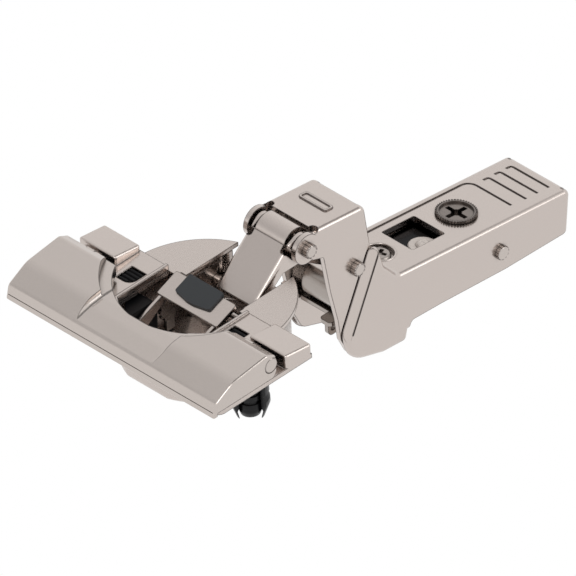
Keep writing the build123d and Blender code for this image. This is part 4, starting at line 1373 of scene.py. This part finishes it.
    def roll_bead(self) -> bpy.types.Object:
        """Roll the raised bead round the recess of the side screw.

        Returns:
            The bead.
        """
        former = Former("recess_bead", {
            "Bead": self.recess_bead_mm * MM, "Recess": self.recess_radius_mm * MM})
        ring = add_node(former.tree, "GeometryNodeCurvePrimitiveCircle", inputs={
            "Resolution": self.bead_facets, "Radius": former.size("Recess")})
        bead = former.wire(ring.outputs["Curve"], former.size("Bead"))
        level = self.top_mm - self.recess_bead_mm * self.bead_sunk
        place = from_arm(self.screw_u_mm, 0.0, level)
        return former.form([former.place(bead, place, (0.0, OPEN_TILT, 0.0))],
                           self.dresser.material(Finish.NICKEL))

    def cut_knurl(self) -> bpy.types.Object:
        """Cut the knurled rim of the depth cam's head.

        Returns:
            The knurl.
        """
        former = Former("cam_knurl", {
            "Rib": self.knurl_rib_mm * MM, "Length": self.knurl_rise_mm * MM})
        out = Vector((self.knurl_radius_mm, 0, self.knurl_middle_mm)) * MM
        ring = former.ribs(out, math.pi / 4, self.knurl_count)
        place = from_arm(self.cam_u_mm, 0.0, self.top_mm)
        return former.form([former.place(ring, place, (0.0, OPEN_TILT, 0.0))],
                           self.dresser.material(Finish.DARK_NICKEL), smooth=False)

    def wind_spring(self) -> bpy.types.Object:
        """Wind the torsion spring: a close coil on the latch pin with two straight legs.

        Returns:
            The spring.
        """
        former = Former("latch_spring_wire", {
            "Wire": self.wire_radius_mm * MM, "Coil": self.coil_radius_mm * MM,
            "Turns": self.coil_turns, "Length": self.coil_length_mm * MM})
        coil = add_node(former.tree, "GeometryNodeCurveSpiral", inputs={
            "Resolution": self.coil_facets, "Rotations": former.size("Turns"),
            "Start Radius": former.size("Coil"), "End Radius": former.size("Coil"),
            "Height": former.size("Length"), "Reverse": True})
        u, w = self.latch_place_mm
        half, ring = self.coil_length_mm / 2, self.coil_radius_mm
        tilt = (0.0, OPEN_TILT, 0.0)
        lying = former.place(former.wire(coil.outputs["Curve"], former.size("Wire")),
                             Vector(), (-math.pi / 2, 0.0, 0.0))
        parts = [former.place(lying, from_arm(u, -half, w), tilt)]
        legs = (((u + ring, -half, w), (u + ring, -half, w - self.down_leg_mm)),
                ((u, half, w + ring), (u - self.back_leg_mm, half, w + ring)))
        parts += [former.rod(from_arm(*start), from_arm(*end)) for start, end in legs]
        return former.form(parts, self.dresser.material(Finish.SPRING))

    def wind_thread(self) -> bpy.types.Object:
        """Wind the thread's ridge round the side screw's shank.

        Returns:
            The thread.
        """
        former = Former("side_screw_thread", {
            "Ridge": self.thread_ridge_mm * MM, "Shank": self.thread_radius_mm * MM,
            "Turns": self.thread_turns,
            "Length": self.thread_turns * self.thread_pitch_mm * MM})
        helix = add_node(former.tree, "GeometryNodeCurveSpiral", inputs={
            "Resolution": self.thread_facets, "Rotations": former.size("Turns"),
            "Start Radius": former.size("Shank"), "End Radius": former.size("Shank"),
            "Height": former.size("Length")})
        ridge = former.wire(helix.outputs["Curve"], former.size("Ridge"), self.ridge_sides)
        place = from_arm(self.screw_u_mm, 0.0, self.thread_low_mm)
        parts = [former.place(ridge, place, (0.0, OPEN_TILT, 0.0))]
        return former.form(parts, self.dresser.material(Finish.SIDE_NICKEL), smooth=False)


# ------------------------------------------------------------------------------ studio
@dataclass
class Studio:
    """Camera, floor, world and lamps."""

    floor_half_m: float = 3.0
    floor_gap_mm: float = 0.05
    floor_colour: str = "#fafafa"
    floor_roughness: float = 0.9
    sky_strength: float = 0.35
    lamp_aim_m: tuple = (0.02, 0, 0)
    lamps: tuple = (
        # name, place (m), size (m), power (W)
        ("key", (-0.25, -0.20, 0.50), 0.30, 0.8),
        ("side", (0.33, -0.38, 0.27), 0.26, 0.4),
    )
    cards: tuple = (
        # name, centre (m), size (m), facing, tone at its end towards -X and at the other
        ("ceiling_bar", (0.25, 0.0, 0.60), (0.90, 0.46), (0, 0, -1), (0.32, 0.32)),
        ("back_wall", (0.0, 0.60, 0.68), (1.5, 0.8), (0, -1, 0), (0.62, 1.0)),
    )

    def build(self) -> None:
        """Set the camera, light and floor."""
        self.make_camera()
        self.make_world()
        self.make_floor()
        for name, place, size, power in self.lamps:
            self.make_lamp(name, place, size, power)
        for name, centre, size, facing, tones in self.cards:
            self.make_card(name, centre, size, facing, tones)
        bpy.context.scene.view_settings.view_transform = "Standard"

    def make_camera(self) -> None:
        """Put a long lens far away, so that parallel edges stay parallel."""
        width = IMAGE_PX / PX_PER_MM * MM
        distance = width * VIEW_LENS_MM / VIEW_SENSOR_MM
        data = bpy.data.cameras.new("view")
        data.lens = VIEW_LENS_MM
        data.sensor_width = VIEW_SENSOR_MM
        data.clip_end = VIEW_REACH_M
        camera = link("view", data)
        right = Vector(VIEW_RIGHT).normalized()
        back = right.cross(Vector(VIEW_UP)).normalized()
        up = back.cross(right)
        turn = Matrix((right, up, back)).transposed().to_4x4()
        centre = Vector(VIEW_CENTRE_MM) * MM
        camera.matrix_world = Matrix.Translation(centre + back * distance) @ turn
        bpy.context.scene.camera = camera

    def make_world(self) -> None:
        """White for the camera and for reflections, a soft sky for the rest."""
        world = bpy.data.worlds.new("studio")
        bpy.context.scene.world = world
        world.use_nodes = True
        tree = world.node_tree
        tree.nodes.clear()
        sky = add_node(tree, "ShaderNodeBackground", inputs={"Strength": self.sky_strength})
        card = add_node(tree, "ShaderNodeBackground", inputs={"Strength": 1.0})
        for node in (sky, card):
            node.inputs["Color"].default_value = linear("#ffffff")
        mix = add_node(tree, "ShaderNodeMixShader", inputs={
            0: self.seen_rays(tree), 1: sky.outputs[0], 2: card.outputs[0]})
        add_node(tree, "ShaderNodeOutputWorld", inputs={"Surface": mix.outputs[0]})

    def seen_rays(self, tree: bpy.types.NodeTree) -> bpy.types.NodeSocket:
        """Tell the rays that show the background from the rays that light by it.

        Args:
            tree: node tree of the world or of a floor.

        Returns:
            Socket that is one for camera, glossy and transmission rays.
        """
        rays = add_node(tree, "ShaderNodeLightPath")
        direct = add_node(tree, "ShaderNodeMath", {"operation": "MAXIMUM"},
                          {0: rays.outputs["Is Camera Ray"], 1: rays.outputs["Is Glossy Ray"]})
        both = add_node(tree, "ShaderNodeMath", {"operation": "MAXIMUM"},
                        {0: direct.outputs[0], 1: rays.outputs["Is Transmission Ray"]})
        return both.outputs[0]

    def make_floor(self) -> None:
        """Pale floor just under the hinge's lowest point."""
        low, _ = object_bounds()
        half, z = self.floor_half_m, low[2] - self.floor_gap_mm * MM
        corners = [(-half, -half, z), (half, -half, z), (half, half, z), (-half, half, z)]
        material, tree, shader = new_material("pale_floor")
        shader.inputs["Base Color"].default_value = linear(self.floor_colour)
        shader.inputs["Roughness"].default_value = self.floor_roughness
        seen = self.seen_rays(tree)
        white = add_node(tree, "ShaderNodeEmission", inputs={"Strength": 1.0})
        mix = add_node(tree, "ShaderNodeMixShader", inputs={
            0: seen, 1: shader.outputs[0], 2: white.outputs[0]})
        tree.links.new(mix.outputs[0], tree.nodes["Material Output"].inputs["Surface"])
        floor = self.lay_sheet("floor", corners, material)
        floor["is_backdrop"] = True

    def lay_sheet(self, name: str, corners: list[tuple],
                  material: bpy.types.Material) -> bpy.types.Object:
        """Make a flat sheet of one face.

        Args:
            name: name of the sheet.
            corners: its four corners in metres, in order.
            material: material of the sheet.

        Returns:
            The sheet.
        """
        mesh = bpy.data.meshes.new(name)
        mesh.from_pydata(corners, [], [(0, 1, 2, 3)])
        mesh.materials.append(material)
        return link(name, mesh)

    def make_lamp(self, name: str, place: tuple, size: float, power: float) -> None:
        """Add a soft square lamp that faces the hinge.

        Args:
            name: name of the lamp.
            place: centre of the lamp.
            size: side of the lamp.
            power: power in watts.
        """
        data = bpy.data.lights.new(name, "AREA")
        data.shape = "SQUARE"
        data.size = size
        data.energy = power
        lamp = link(name, data)
        aim = Vector(self.lamp_aim_m) - Vector(place)
        lamp.location = place
        lamp.rotation_euler = aim.to_track_quat("-Z", "Y").to_euler()

    def make_card(self, name: str, centre: tuple, size: tuple, facing: tuple,
                  tones: tuple) -> None:
        """Hang a grey card that only the metal mirrors, as beside a product table.

        Args:
            name: name of the card.
            centre: centre of the card.
            size: its length along X and its other side.
            facing: direction that it faces.
            tones: grey at its end towards -X and at the other end.
        """
        along = Vector((1, 0, 0)) * size[0] / 2
        across = Vector(facing).cross(Vector((1, 0, 0))) * size[1] / 2
        middle = Vector(centre)
        corners = [middle - along - across, middle + along - across,
                   middle + along + across, middle - along + across]
        material, tree, _ = new_material(name)
        place = add_node(tree, "ShaderNodeTexCoord")
        split = add_node(tree, "ShaderNodeSeparateXYZ", inputs={0: place.outputs["Object"]})
        ramp = add_node(tree, "ShaderNodeMapRange", inputs={
            "Value": split.outputs["X"], "From Min": middle.x - size[0] / 2,
            "From Max": middle.x + size[0] / 2, "To Min": tones[0], "To Max": tones[1]})
        glow = add_node(tree, "ShaderNodeEmission", inputs={"Strength": ramp.outputs["Result"]})
        tree.links.new(glow.outputs[0], tree.nodes["Material Output"].inputs["Surface"])
        card = self.lay_sheet(name, [tuple(corner) for corner in corners], material)
        card.visible_camera = False
        card.visible_diffuse = False
        card.visible_shadow = False
        card.visible_transmission = False
        card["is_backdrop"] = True


def main() -> None:
    """Build and dress every sub-assembly, then the studio."""
    logging.basicConfig(level=logging.INFO, format="%(name)s %(message)s")
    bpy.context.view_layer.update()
    dresser = Dresser()
    for group in (CupGroup, MouthGroup, CoverGroup, LinkGroup, ArmGroup):
        before = {item.name for item in bpy.data.objects}
        group(dresser).build()
        for item in bpy.data.objects:
            if item.name not in before:
                LOG.info("%s: made for %s", item.name, group.__name__)
    Studio().build()


if __name__ == "__main__":
    main()
